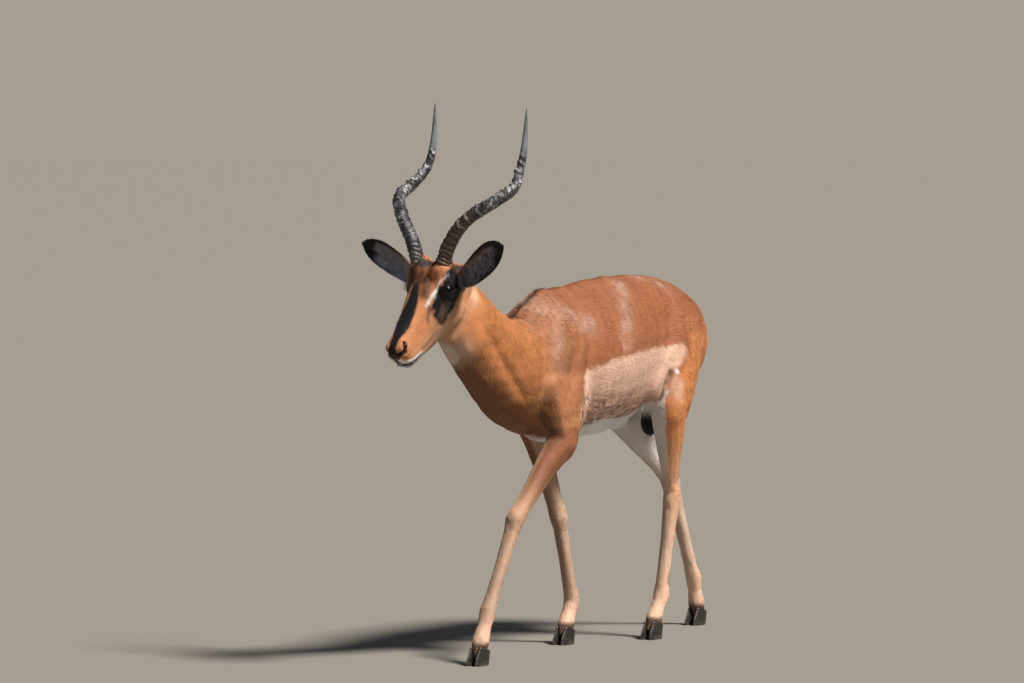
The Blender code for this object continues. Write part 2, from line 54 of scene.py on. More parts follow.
EYE_RADIUS = 0.0185
EYE_PLACE = (0.043, 0.0455, -0.031)                # forward, out, up, measured on the face from the brow
LID_HALF_LENGTH, LID_HALF_HEIGHT = 0.0165, 0.0098
HORN_RINGS, HORN_BASE_RADIUS = 27, 0.0162
HORN_REACH = {1: (1.00, 1.00), -1: (1.02, 1.03)}   # how far out and up: the right horn is a little longer
HOOF_HEIGHT, CLAW_SPREAD = 0.036, 0.0105
HORN_CURVE = [
    (0.000, 0.030, -0.020), (-0.001, 0.051, 0.045), (-0.012, 0.092, 0.102), (-0.055, 0.139, 0.144),
    (-0.106, 0.146, 0.170), (-0.142, 0.134, 0.208), (-0.160, 0.132, 0.262), (-0.167, 0.133, 0.345),
]
EAR_ROOT, EAR_TIP = np.array((-0.034, 0.052, -0.036)), np.array((-0.005, 0.205, 0.047))
EARS_ABOVE, EARS_BEFORE = 0.80, -0.36              # nothing else this high and far forward is wide
HEAD_BEFORE = -0.46                                # this and the next two from where the animal stands
NECK_BEFORE, TRUNK_MIDDLE = -0.375, -0.06
LEG_TOP = 0.47
LEG_JOINTS = {
    "fore_left": [(0.074, -0.325, 0.625), (0.088, -0.302, 0.485), (0.066, -0.474, 0.313),
                  (0.054, -0.574, 0.118), (0.052, -0.606, 0.040)],
    "fore_right": [(-0.074, -0.265, 0.625), (-0.084, -0.125, 0.490), (-0.056, -0.064, 0.290),
                   (-0.047, -0.022, 0.097), (-0.046, -0.052, 0.036)],
    "hind_left": [(0.070, 0.250, 0.735), (0.098, 0.165, 0.545), (0.078, 0.226, 0.318),
                  (0.062, 0.203, 0.098), (0.060, 0.170, 0.036)],
    "hind_right": [(-0.070, 0.265, 0.735), (-0.094, 0.245, 0.535), (-0.050, 0.452, 0.345),
                   (-0.038, 0.542, 0.112), (-0.037, 0.560, 0.040)],
}
TAIL = [(-0.001, 0.449, 0.733), (-0.004, 0.461, 0.690), (-0.012, 0.460, 0.630), (-0.021, 0.456, 0.570),
        (-0.028, 0.452, 0.520), (-0.033, 0.452, 0.485)]

SKIN_VOXEL = 0.0025
SKIN_FACES = 186000
FLESH_GROWTH, EAR_GROWTH = 0.0004, 0.0014          # so that the fused skin does not come out thin
SOFT_LEVELS, SOFT_ROUNDS = 40, 90
BODY_DEPTH, LEG_DEPTH, HEAD_DEPTH = 0.0024, 0.0002, 0.0004     # of the coat that lies over the skin
SOCKET_RADIUS = 0.0150
RIB_SPACING = 0.034
SEED = 11

# forms of the body: how far out (or in, below zero), half width and path; each lies on both sides
MUSCLES = [
    (-0.0045, 0.013, [(0.105, -0.190, 0.720), (0.110, -0.212, 0.620), (0.108, -0.240, 0.530)]),
    (-0.0040, 0.017, [(0.060, -0.345, 0.745), (0.085, -0.362, 0.650), (0.080, -0.365, 0.560)]),
    (0.0035, 0.018, [(0.050, -0.225, 0.800), (0.085, -0.290, 0.720), (0.100, -0.335, 0.630)]),
    (0.0040, 0.026, [(0.100, -0.215, 0.700), (0.112, -0.265, 0.600), (0.110, -0.285, 0.520)]),
    (-0.0060, 0.009, [(0.122, 0.152, 0.640), (0.115, 0.132, 0.588), (0.100, 0.120, 0.548)]),
    (0.0040, 0.010, [(0.128, 0.172, 0.630), (0.122, 0.150, 0.585), (0.108, 0.140, 0.545)]),
    (0.0045, 0.024, [(0.090, 0.225, 0.765), (0.100, 0.235, 0.735)]),
    (-0.0050, 0.034, [(0.095, 0.140, 0.760), (0.100, 0.160, 0.700)]),
    (-0.0035, 0.012, [(0.110, 0.330, 0.700), (0.120, 0.290, 0.600), (0.112, 0.260, 0.540)]),
    (-0.0035, 0.012, [(0.050, -0.590, 0.755), (0.058, -0.500, 0.655), (0.060, -0.420, 0.580)]),
    (0.0030, 0.024, [(0.060, -0.560, 0.785), (0.068, -0.460, 0.715), (0.080, -0.380, 0.660)]),
]
SPINE = [(0.0, -0.35, 0.80), (0.0, -0.2, 0.83), (0.0, 0.1, 0.84), (0.0, 0.36, 0.80)]

# forms of the face in the same way, measured forward, out and up from the brow
NOSTRIL = [(0.199, 0.0255, -0.009), (0.209, 0.0280, -0.0150), (0.218, 0.0260, -0.0175),
           (0.224, 0.0180, -0.0165), (0.229, 0.0110, -0.0175)]
LIP = [(0.232, 0.009, -0.029), (0.229, 0.014, -0.037), (0.222, 0.0215, -0.046), (0.203, 0.0255, -0.056),
       (0.184, 0.0265, -0.063)]
MOUTH = [(0.234, 0.000, -0.043), (0.229, 0.013, -0.048), (0.221, 0.0210, -0.0545),
         (0.202, 0.0250, -0.0615), (0.182, 0.0260, -0.0675)]
FACE_FORMS = [
    (0.0022, 0.0075, [(0.060, 0.052, -0.050), (0.000, 0.052, -0.052)]),
    (0.0018, 0.0075, [(0.085, 0.046, -0.052), (0.125, 0.036, -0.050)]),
    (0.0022, 0.016, [(0.085, 0.046, -0.075), (0.060, 0.048, -0.080)]),
    (0.0014, 0.010, [(0.075, 0.030, 0.004), (0.150, 0.020, -0.003)]),
    (-0.0026, 0.011, [(0.090, 0.036, -0.026), (0.160, 0.028, -0.030)]),
    (0.0026, 0.016, [(0.002, 0.010, 0.012), (0.034, 0.012, 0.008)]),
    (-0.0020, 0.008, [(0.002, 0.034, 0.004), (0.052, 0.027, 0.002)]),
    (0.0020, 0.008, [(0.018, 0.048, -0.004), (0.044, 0.046, -0.008)]),
    (-0.0016, 0.007, [(0.130, 0.030, -0.070), (0.175, 0.026, -0.070)]),
    (-0.0085, 0.0040, NOSTRIL[:4]),
    (0.0026, 0.0050, [(0.196, 0.026, -0.003), (0.206, 0.021, -0.001), (0.218, 0.014, -0.005)]),
    (0.0018, 0.0050, [(0.203, 0.029, -0.027), (0.219, 0.024, -0.029)]),
    (-0.0018, 0.0024, [(0.224, 0.000, -0.006), (0.233, 0.000, -0.020), (0.234, 0.000, -0.036)]),
    (-0.0038, 0.0019, MOUTH),
    (0.0014, 0.0040, LIP),
    (0.0016, 0.0036, [(x, y, z - 0.0055) for x, y, z in MOUTH]),
]


# ---------------------------------------------------------------- small helpers
def linear(hex_colour):
    """An sRGB hex colour as linear numbers."""
    parts = [int(hex_colour[i:i + 2], 16) / 255 for i in (1, 3, 5)]
    return np.array([c / 12.92 if c <= 0.04045 else ((c + 0.055) / 1.055) ** 2.4 for c in parts])


def ease(low, high, x):
    """0 below low, 1 above high and smooth between them."""
    t = np.clip((x - low) / (high - low), 0.0, 1.0)
    return t * t * (3 - 2 * t)


def fall(low, high, x):
    """1 below low, 0 above high."""
    return 1 - ease(low, high, x)


def bell(x, width):
    """1 in the middle, fading away to either side."""
    return np.exp(-(x / width) ** 2)


def unit(v):
    return v / np.maximum(np.linalg.norm(v, axis=-1, keepdims=True), 1e-12)


def on_face(forward, left, up):
    return BROW + FACE_FORWARD * forward + HEAD_LEFT * left + FACE_UP * up


def face_place(points):
    """Forward, left and up of each point, in the head's frame."""
    d = points - BROW
    return d @ FACE_FORWARD, d @ HEAD_LEFT, d @ FACE_UP


def ear_place(points, hand):
    """Share of the way from an ear's root to its tip, how far across it, and forward, out and up."""
    d = points - BROW
    local = np.stack([d @ HEADING, d @ HEAD_LEFT * hand, d @ UP], axis=1)
    axis = EAR_TIP - EAR_ROOT
    share = (local - EAR_ROOT) @ axis / (axis @ axis)
    across = unit(np.cross(axis, (1.0, 0.0, 0.0)))
    return share, (local - EAR_ROOT) @ across, local


def from_path(points, path):
    """Distance of each point from a broken line, and the share of the line nearest to it."""
    path = np.array(path, float)
    lengths = np.linalg.norm(np.diff(path, axis=0), axis=1)
    best, share = np.full(len(points), 1e9), np.zeros(len(points))
    gone = 0.0
    for a, b, length in zip(path, path[1:], lengths):
        t = np.clip((points - a) @ (b - a) / length ** 2, 0, 1)
        distance = np.linalg.norm(points - a - t[:, None] * (b - a), axis=1)
        nearer = distance < best
        best = np.where(nearer, distance, best)
        share = np.where(nearer, (gone + t * length) / lengths.sum(), share)
        gone += length
    return best, share


def from_line(across, up, line):
    """The same two numbers for places on a plane and a broken line drawn on it."""
    flat = np.stack([across, up, np.zeros(len(up))], axis=1)
    return from_path(flat, [(a, b, 0.0) for a, b in line])


def oval(points, centre, radii):
    """Distance of each point from a centre, as a share of an oval's radii."""
    return np.linalg.norm((points - np.array(centre)) / np.array(radii), axis=1)


def waves(points, size, seed):
    """Smooth irregular numbers from about -1 to 1, with bumps of about this size in metres."""
    rng = np.random.default_rng(seed)
    total = np.zeros(len(points))
    for _ in range(7):
        direction = unit(rng.normal(size=3)) * 2 * math.pi / size * rng.uniform(0.6, 1.5)
        total += np.sin(points @ direction + rng.uniform(0, 2 * math.pi))
    return total / 3.5


def smooth_rows(rows, steps):
    """Rows of numbers eased into `steps` rows per gap, passing through each of the given ones."""
    rows = np.array(rows, dtype=float)
    padded = np.vstack([2 * rows[0] - rows[1], rows, 2 * rows[-1] - rows[-2]])
    out = []
    for i in range(1, len(padded) - 2):
        p0, p1, p2, p3 = padded[i - 1:i + 3]
        for step in range(steps):
            t = step / steps
            out.append(0.5 * (2 * p1 + (p2 - p0) * t + (2 * p0 - 5 * p1 + 4 * p2 - p3) * t ** 2
                              + (3 * p1 - p0 - 3 * p2 + p3) * t ** 3))
    out.append(rows[-1])
    return np.array(out)


def read(mesh, what="co"):
    """Places of a mesh's points, or their normals."""
    values = np.zeros(len(mesh.vertices) * 3, np.float32)
    if what == "co":
        mesh.vertices.foreach_get("co", values)
    else:
        mesh.vertex_normals.foreach_get("vector", values)
    return values.reshape(-1, 3).astype(float)


def write(mesh, points):
    mesh.vertices.foreach_set("co", points.astype(np.float32).ravel())
    mesh.update()


def add_object(name, data):
    made = bpy.data.objects.new(name, data)
    bpy.context.scene.collection.objects.link(made)
    return made


def bake_modifiers(obj):
    """Gives an object the mesh that its modifiers make."""
    graph = bpy.context.evaluated_depsgraph_get()
    graph.update()
    mesh = bpy.data.meshes.new_from_object(obj.evaluated_get(graph), depsgraph=graph)
    obj.modifiers.clear()
    old, obj.data = obj.data, mesh
    bpy.data.meshes.remove(old)


def mesh_from(name, points, faces):
    mesh = bpy.data.meshes.new(name)
    mesh.from_pydata([tuple(p) for p in points], [], faces)
    mesh.update()
    return mesh


def turn_outward(mesh):
    loose = bmesh.new()
    loose.from_mesh(mesh)
    bmesh.ops.recalc_face_normals(loose, faces=loose.faces)
    loose.to_mesh(mesh)
    loose.free()


def loft(name, rings):
    """A closed smooth mesh over rings of equal count, with a point in the middle of each end."""
    rings = np.array(rings)
    count, around = rings.shape[:2]
    points = np.vstack([rings.reshape(-1, 3), rings[0].mean(0), rings[-1].mean(0)])
    faces = []
    for i in range(count - 1):
        for j in range(around):
            k = (j + 1) % around
            faces.append((i * around + j, i * around + k, (i + 1) * around + k, (i + 1) * around + j))
    first, last, end = count * around, count * around + 1, (count - 1) * around
    for j in range(around):
        k = (j + 1) % around
        faces.append((first, k, j))
        faces.append((last, end + j, end + k))
    mesh = mesh_from(name, points, faces)
    turn_outward(mesh)
    mesh.shade_smooth()
    return mesh


def give(mesh, name, values, kind="FLOAT"):
    """Stores numbers on the points of a mesh, for its material and its tufts."""
    attribute = mesh.attributes.new(name, kind, "POINT")
    if kind == "FLOAT":
        attribute.data.foreach_set("value", values.astype(np.float32))
    elif kind == "FLOAT_VECTOR":
        attribute.data.foreach_set("vector", values.astype(np.float32).ravel())
    else:
        rgba = np.hstack([values, np.ones((len(values), 1))])
        attribute.data.foreach_set("color", rgba.astype(np.float32).ravel())


def add(tree, kind, inputs=None, **settings):
    """A node with its settings, and its inputs set to values or linked from other nodes' outputs."""
    made = tree.nodes.new(kind)
    for key, value in settings.items():
        setattr(made, key, value)
    for key, value in (inputs or {}).items():
        if isinstance(value, bpy.types.NodeSocket):
            tree.links.new(value, made.inputs[key])
        else:
            made.inputs[key].default_value = value
    return made


def maths(tree, operation, first, second):
    return add(tree, "ShaderNodeMath", {0: first, 1: second}, operation=operation).outputs[0]


def vectors(tree, operation, first, second):
    return add(tree, "ShaderNodeVectorMath", {0: first, 1: second}, operation=operation).outputs[0]


def scaled(tree, vector, factor):
    return add(tree, "ShaderNodeVectorMath", {0: vector, "Scale": factor}, operation="SCALE").outputs[0]


# ---------------------------------------------------------------- skin
def flesh_union():
    """All flesh solids and the eyeballs as one fine closed mesh."""
    joined = bmesh.new()
    for name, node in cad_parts.items():
        if name.startswith(("horn", "hoof")):
            continue
        one = bmesh.new()
        one.from_mesh(node.data)
        bmesh.ops.remove_doubles(one, verts=one.verts, dist=1e-5)
        one.normal_update()
        growth = EAR_GROWTH if name.startswith("ear") else FLESH_GROWTH
        for vertex in one.verts:
            vertex.co += vertex.normal * growth
        grown = bpy.data.meshes.new(name)
        one.to_mesh(grown)
        one.free()
        joined.from_mesh(grown)
        bpy.data.meshes.remove(grown)
    mesh = bpy.data.meshes.new("skin")
    joined.to_mesh(mesh)
    joined.free()
    skin = add_object("skin", mesh)
    remesh = skin.modifiers.new("fuse", "REMESH")
    remesh.mode = "VOXEL"
    remesh.voxel_size = SKIN_VOXEL
    bake_modifiers(skin)
    return skin


def ear_weight(points):
    """1 on the free part of the ears."""
    out = np.abs(face_place(points)[1])
    above = ease(EARS_ABOVE, 0.84, points[:, 2])
    return ease(0.050, 0.072, out) * above * (points[:, 1] < EARS_BEFORE)


def head_weight(points):
    """1 on the head and ears, 0 on the rest of the body."""
    near = fall(0.13, 0.17, np.linalg.norm(points - on_face(0.095, 0, -0.055), axis=1))
    return np.maximum(near, ear_weight(points))


def above_legs(points):
    """0 on the lower legs, 1 on the trunk, neck and head."""
    return ease(0.46, 0.60, points[:, 2])


def tail_place(q):
    """Whether a point lies on the tail, and how far it is to either side of the tail's middle."""
    middle = np.interp(-q[:, 2], [-p[2] for p in TAIL], [p[0] for p in TAIL])
    on_tail = (from_path(q, TAIL)[0] < 0.034) & (q[:, 1] > 0.432) & (q[:, 2] < 0.765)
    return on_tail, np.abs(q[:, 0] - middle)


def soften(skin):
    """Rounds the facets off: fully on the body, a little on the legs and head, hardly on the ears."""
    points = read(skin.data)
    head, ears = head_weight(points), ear_weight(points)
    weight = 0.10 + 0.90 * above_legs(points)
    weight = weight * (1 - head) + 0.10 * head
    weight = weight * (1 - ears) + 0.03 * ears
    group = skin.vertex_groups.new(name="soft")
    levels = np.clip(np.round(weight * SOFT_LEVELS).astype(int), 1, SOFT_LEVELS)
    for level in np.unique(levels):
        group.add(np.nonzero(levels == level)[0].tolist(), float(level) / SOFT_LEVELS, "REPLACE")
    smooth = skin.modifiers.new("soften", "SMOOTH")
    smooth.factor = 0.5
    smooth.iterations = SOFT_ROUNDS
    smooth.vertex_group = "soft"
    bake_modifiers(skin)
    skin.vertex_groups.clear()


def refine_near(skin, places):
    """Faces half as long near these places, each given with its reach."""
    fine = bmesh.new()
    fine.from_mesh(skin.data)
    chosen = set()
    for face in fine.faces:
        middle = np.array(face.calc_center_median())
        if any(np.linalg.norm(middle - place) < reach for place, reach in places):
            chosen.update(face.edges)
    bmesh.ops.subdivide_edges(fine, edges=list(chosen), cuts=1, use_grid_fill=True)
    bmesh.ops.triangulate(fine, faces=fine.faces)
    fine.to_mesh(skin.data)
    fine.free()


def eye_frame(hand):
    """Centre of an eyeball, and its directions of gaze, along the lids and across them."""
    centre = on_face(EYE_PLACE[0], EYE_PLACE[1] * hand, EYE_PLACE[2])
    gaze = unit(HEAD_LEFT * hand * 0.90 + FACE_FORWARD * 0.28 + FACE_UP * 0.32)
    slit = FACE_FORWARD * 0.84 + FACE_UP * 0.46
    along = unit(slit - gaze * (slit @ gaze))
    across = np.cross(along, gaze) * hand
    return centre, gaze, along, across


def carve_lids(points):
    """Lids with a rim and a fold round each eye, and the eye's opening sunk behind the eyeball."""
    for _, hand in SIDES:
        centre, gaze, along, across = eye_frame(hand)
        d = points - centre
        distance = np.maximum(np.linalg.norm(d, axis=1), 1e-6)
        g, a, b = d @ gaze, d @ along, d @ across
        opening = LID_HALF_HEIGHT * (1 - (a / LID_HALF_LENGTH) ** 2)
        beyond = np.abs(a) - LID_HALF_LENGTH
        past = np.where(beyond > 0, np.hypot(beyond, b), np.abs(b) - opening)
        near = (distance < 0.034) & (g > 0.002)
        lid = EYE_RADIUS + 0.0004 + 0.0016 * ease(-0.0002, 0.0016, past)
        lid -= 0.0009 * bell(past - 0.0052, 0.0012)
        lid += 0.0010 * bell(past - 0.0030, 0.0016) * (b > 0)
        hold = fall(0.0045, 0.0115, past)
        radius = np.where(past < 0, SOCKET_RADIUS, np.maximum(lid, 0.0) * hold + distance * (1 - hold))
        moved = centre + d / distance[:, None] * radius[:, None]
        points = np.where(near[:, None], moved, points)
    return points


def forms(points):
    """How far each point of the skin stands out or in for muscles, bones and folds."""
    q = points - STAND
    height = np.zeros(len(q))

    def press(amount, width, path):
        distance, share = from_path(q, path)
        fade = 0.35 + 0.65 * np.sin(math.pi * np.clip(share, 0.08, 0.92))
        height[:] += amount * bell(distance, width) * fade

    for amount, width, path in MUSCLES:
        for _, hand in SIDES:
            press(amount, width, [(x * hand, y, z) for x, y, z in path])
    press(0.0020, 0.012, SPINE)
    ribs = ease(-0.17, -0.13, q[:, 1]) * fall(0.06, 0.12, q[:, 1])
    ribs *= ease(0.53, 0.57, q[:, 2]) * fall(0.66, 0.74, q[:, 2])
    height += ribs * 0.0003 * np.cos((q[:, 1] + 0.35 * (q[:, 2] - 0.6)) * 2 * math.pi / RIB_SPACING)
    withers = bell(oval(q, (0.030, -0.290, 0.780), (1.2, 1.6, 1.0)), 0.040)
    height += withers * 0.0011 * waves(q * (1.0, 1.0, 2.0), 0.024, 81)
    body = 1 - head_weight(points)
    height += body * ease(0.42, 0.55, q[:, 2]) * (0.0011 * waves(q, 0.085, 3) + 0.0005 * waves(q, 0.035, 4))
    return height + leg_forms(q)


def leg_forms(q):
    """Tendons, knuckles and muscle edges of the legs."""
    height = np.zeros(len(q))
    for leg, joints in LEG_JOINTS.items():
        hand = 1 if leg.endswith("left") else -1
        top, knee, fetlock, foot = [np.array(p) for p in joints[1:]]
        own = (q[:, 2] < LEG_TOP) & (q[:, 0] * hand > -0.002)
        near = own & (from_path(q, [top, knee, fetlock, foot])[0] < 0.06)
        shank = unit(fetlock - knee)
        back = unit(np.cross(shank, (1.0, 0.0, 0.0)))
        back = back if back[1] > 0 else -back
        for out in (1, -1):
            a = knee + shank * 0.03 + back * 0.003 + np.array((0.014 * out, 0, 0))
            b = fetlock - shank * 0.02 + back * 0.004 + np.array((0.014 * out, 0, 0))
            height -= near * 0.0016 * bell(from_path(q, [a, b])[0], 0.0040)
            a = top + (knee - top) * 0.15 + np.array((0.026 * out, 0, 0)) + back * 0.006
            b = top + (knee - top) * 0.85 + np.array((0.018 * out, 0, 0)) + back * 0.004
            height -= near * 0.0022 * bell(from_path(q, [a, b])[0], 0.0075)
        if leg.startswith("fore"):
            cap = knee - back * 0.018
            height += near * 0.0018 * bell(from_path(q, [cap, cap - shank * 0.012])[0], 0.010)
        height += near * 0.0020 * bell(np.linalg.norm(q - fetlock - back * 0.014, axis=1), 0.011)
        pastern = np.linalg.norm(q - fetlock - shank * 0.020 - back * 0.012, axis=1)
        height -= near * 0.0014 * bell(pastern, 0.008)
    return height


def face_forms(points):
    """How far each point of the head stands out or in."""
    forward, left, up = face_place(points)
    place = np.stack([forward, np.abs(left), up], axis=1)
    height = np.zeros(len(points))
    for amount, width, path in FACE_FORMS:
        height += amount * bell(from_path(place, path)[0], width)
    return height * head_weight(points)


def sink(skin):
    """Draws the skin in by the depth of its coat, and gives it muscles, folds and lids."""
    points, normals = read(skin.data), read(skin.data, "normal")
    head = head_weight(points)
    depth = BODY_DEPTH * above_legs(points) + LEG_DEPTH
    depth = depth * (1 - head) + HEAD_DEPTH * head
    points = points + normals * (forms(points) + face_forms(points) - depth)[:, None]
    write(skin.data, carve_lids(points))


def thin_out(skin):
    """Fewer faces away from the head, where the form is plain."""
    points = read(skin.data)
    group = skin.vertex_groups.new(name="plain")
    plain = np.nonzero(head_weight(points) < 0.5)[0].tolist()
    group.add(plain, 1.0, "REPLACE")
    skin.data.calc_loop_triangles()
    thin = skin.modifiers.new("thin", "DECIMATE")
    thin.ratio = min(1.0, SKIN_FACES / len(skin.data.loop_triangles))
    thin.vertex_group = "plain"
    thin.vertex_group_factor = 0.0
    bake_modifiers(skin)
    skin.vertex_groups.clear()


def unwrap(obj):
    """Lays the skin out flat, for the textures that an export bakes."""
    obj.data.uv_layers.new(name="OFBake")
    bpy.ops.object.select_all(action="DESELECT")
    obj.select_set(True)
    bpy.context.view_layer.objects.active = obj
    bpy.ops.object.mode_set(mode="EDIT")
    bpy.ops.mesh.select_all(action="SELECT")
    bpy.ops.uv.smart_project(angle_limit=math.radians(75), island_margin=0.001)
    bpy.ops.object.mode_set(mode="OBJECT")


# ---------------------------------------------------------------- markings
HAIR = {name: linear(value) for name, value in {
    "saddle": "#a26643", "neck": "#c98553", "shoulder": "#b27952", "haunch": "#d38a57", "leg": "#d9a27a",
    "leg_low": "#e2bb9e", "fore_leg": "#945c3c", "inner": "#b8a496", "flank": "#e0b9a1",
    "flank_low_shade": "#c89f89", "shadow_streak": "#654a3b", "white": "#efece7", "cream": "#dcbda0", "black": "#141317",
    "soot": "#66524a", "sheen": "#cfb0a0", "dark_brown": "#4a3022", "crest": "#2c1d17", "throat": "#bcb0a4",
    "muzzle": "#c28157", "cheek": "#c68f69", "forehead": "#bf7a4b", "brow_brown": "#3c271a",
    "chin": "#969ca6", "nose": "#1d1817", "ear_grey": "#a09ba2", "ear_blue": "#a8b3c4",
    "ear_dark": "#3b2f30", "ear_back": "#8f5d40",
}.items()}

# where the colours of the trunk meet: heights along the body, then places along the body by height
SADDLE_EDGE = [(-0.240, 0.625), (-0.211, 0.633), (-0.169, 0.645), (-0.116, 0.656), (-0.054, 0.663),
               (0.023, 0.666), (0.112, 0.674), (0.240, 0.678)]
BELLY_EDGE = [(-0.300, 0.480), (-0.161, 0.503), (-0.120, 0.514), (-0.064, 0.519), (0.055, 0.521),
              (0.124, 0.538), (0.200, 0.560)]
THIGH_FRONT = [(0.56, 0.10), (0.60, 0.13), (0.68, 0.20)]
BAND_REAR = [(0.50, 0.122), (0.548, 0.126), (0.586, 0.136), (0.615, 0.150), (0.640, 0.172), (0.660, 0.192),
             (0.690, 0.190)]
BAND_FRONT = [(0.50, -0.262), (0.540, -0.252), (0.633, -0.218)]
EDGE_GRAIN, SHADOW_STREAK_SPACING = 0.0035, 0.0090

FLANK_FOLD = [(0.152, 0.620), (0.136, 0.585), (0.127, 0.556)]
RUMP_STRIPE = [(0.040, 0.415, 0.735), (0.058, 0.415, 0.680), (0.064, 0.385, 0.600), (0.064, 0.345, 0.550)]

# painted sheen: pale patches standing for the coat's highlights on either side of the back, withers and
# shoulder: width and path
SHEEN_PATCHES = [
    (0.024, [(0.010, -0.320, 0.790), (0.053, -0.275, 0.766), (0.087, -0.176, 0.737)]),
    (0.020, [(0.078, -0.305, 0.715), (0.080, -0.325, 0.655)]),
    (0.024, [(0.050, 0.030, 0.825), (0.085, -0.020, 0.770), (0.116, -0.066, 0.690)]),
    (0.020, [(0.030, 0.140, 0.845), (0.060, 0.220, 0.810)]),
]

# outlines on the side of the face, forward and up: round the eye, a painted sheen on its fore part, at the
# ear's foot
EYE_PATCH = [(-0.010, -0.034), (-0.004, -0.008), (0.020, 0.004), (0.036, -0.003), (0.070, -0.012),
             (0.090, -0.019), (0.105, -0.030), (0.110, -0.043), (0.111, -0.064), (0.103, -0.073),
             (0.082, -0.068), (0.058, -0.065), (0.038, -0.065), (0.020, -0.058), (-0.004, -0.056)]
EYE_SHEEN_PATCH = [(0.058, -0.044), (0.070, -0.034), (0.086, -0.042), (0.101, -0.048), (0.108, -0.064),
              (0.098, -0.068), (0.078, -0.061), (0.060, -0.055)]
EAR_PATCH = [(-0.06, -0.075), (-0.03, -0.020), (0.006, -0.020), (0.034, -0.050), (0.030, -0.064),
             (-0.02, -0.080)]
TEAR_LINE = [(0.096, -0.0175), (0.108, -0.0235), (0.126, -0.034)]
BROW_STRIPE = [(0.018, 0.056), (0.034, 0.0515), (0.048, 0.0445), (0.061, 0.0395), (0.076, 0.0360),
               (0.088, 0.0340), (0.101, 0.0310)]

# the blaze by its place forward: middle, half width; the brown strands beside it, partly painted shade:
# width, strength, path
BLAZE_MIDDLE = [(0.010, -0.010), (0.037, -0.014), (0.060, -0.008), (0.080, -0.001), (0.100, 0.002)]
BLAZE_HALF = [(0.010, 0.0070), (0.045, 0.0085), (0.070, 0.0110), (0.087, 0.0135), (0.101, 0.0155),
              (0.128, 0.0180), (0.158, 0.0185), (0.175, 0.0155), (0.188, 0.0115), (0.200, 0.0085)]
BROW_STRANDS = [
    (0.0170, 1.00, [(0.000, -0.026), (0.022, -0.032), (0.045, -0.037), (0.070, -0.032)]),
    (0.0100, 0.85, [(0.026, -0.010), (0.040, -0.004), (0.050, 0.003)]),
    (0.0165, 1.00, [(0.036, 0.010), (0.056, 0.019), (0.078, 0.022)]),
]
POLL = [(-0.008, 0.000, 0.000), (0.000, 0.016, 0.008), (0.006, 0.026, 0.010)]
NOSE_HALF = [(0.196, 0.009), (0.208, 0.009), (0.219, 0.010), (0.226, 0.013), (0.240, 0.014)]
CHIN_TOP = [(0.18, -0.0675), (0.202, -0.0615), (0.221, -0.0545), (0.229, -0.048), (0.235, -0.043)]

EAR_HALF = [(0.1, 0.018), (0.35, 0.027), (0.6, 0.030), (0.85, 0.022), (1.0, 0.006)]
EAR_LENGTH, WHORL_SPACING = 0.176, 0.0135


class Coat:
    """The colour of the hair at each point, laid on in layers."""

    def __init__(self, count):
        self.rgb = np.tile(HAIR["saddle"], (count, 1))

    def lay(self, name, mask):
        self.rgb = self.rgb + (HAIR[name] - self.rgb) * np.clip(np.asarray(mask, float), 0, 1)[:, None]

    def darken(self, share):
        self.rgb = self.rgb * (1 - share)[:, None]


def along_edge(edge, place):
    """The second number of an edge at each value of its first."""
    return np.interp(place, *zip(*edge))


def markings(points, normals):
    """The colour of the coat at each point."""
    q = points - STAND
    coat = Coat(len(q))
    grain = waves(q, 0.020, 21)
    trunk_marks(coat, q, grain)
    fold_marks(coat, q, grain)
    belly_marks(coat, q, normals, grain)
    leg_marks(coat, q, normals)
    rump_marks(coat, q, normals)
    back_marks(coat, q, normals, grain)
    shaded_marks(coat, q, normals)
    # the white throat patch, laid on in a greyish tone as painted shade
    throat = oval(q, (-0.026, -0.634, 0.684), (0.038, 0.034, 0.040))
    coat.lay("throat", fall(0.90, 1.02, throat + 0.07 * grain))
    face_marks(coat, points)
    ear_marks(coat, points, normals)
    uneven = 1 + 0.05 * waves(q, 0.11, 41) + 0.03 * waves(q, 0.018, 42)
    return np.clip(coat.rgb * uneven[:, None], 0, 1)


def trunk_marks(coat, q, grain):
    """Paler shoulders, neck and thighs, and the sandy band along each side, with painted shade low on it and
    in dark streaks.
    """
    _, y, z = q.T
    z_rough = z + EDGE_GRAIN * grain
    y_rough = y + 0.004 * waves(q, 0.030, 22)
    front = fall(-0.30, -0.17, y_rough)
    coat.lay("shoulder", front * fall(0.72, 0.82, z) * 0.9)
    coat.lay("neck", fall(-0.44, -0.32, y_rough))
    haunch = ease(0.0, 0.05, y_rough - along_edge(THIGH_FRONT, z)) * fall(0.66, 0.76, z)
    coat.lay("haunch", np.maximum(haunch, ease(0.33, 0.40, y_rough) * 0.6))
    band = fall(-0.004, 0.006, z_rough - along_edge(SADDLE_EDGE, y))
    behind = ease(-0.004, 0.004 + 0.018 * ease(0.62, 0.66, z), y_rough - along_edge(BAND_REAR, z))
    band *= ease(-0.010, 0.000, y_rough - along_edge(BAND_FRONT, z)) * (1 - behind)
    coat.lay("flank", band)
    # painted shade: the band darker low down, where it turns under towards the belly
    coat.lay("flank_low_shade", band * fall(0.545, 0.650, z_rough) * 0.8)
    # painted shade: dark streaks standing for the shadows between ridges of hair low on the band
    drawn = q * (1.0, 0.20, 1.0)
    ripples = np.sin((z - 0.16 * y + 0.006 * waves(drawn, 0.03, 31)) * 2 * math.pi / SHADOW_STREAK_SPACING)
    shadow_streaks = band * ease(0.1, 1.0, ripples + 0.8 * waves(drawn, 0.014, 32))
    coat.lay("shadow_streak", shadow_streaks * fall(0.538, 0.590, z_rough + 0.10 * y) * 0.9)


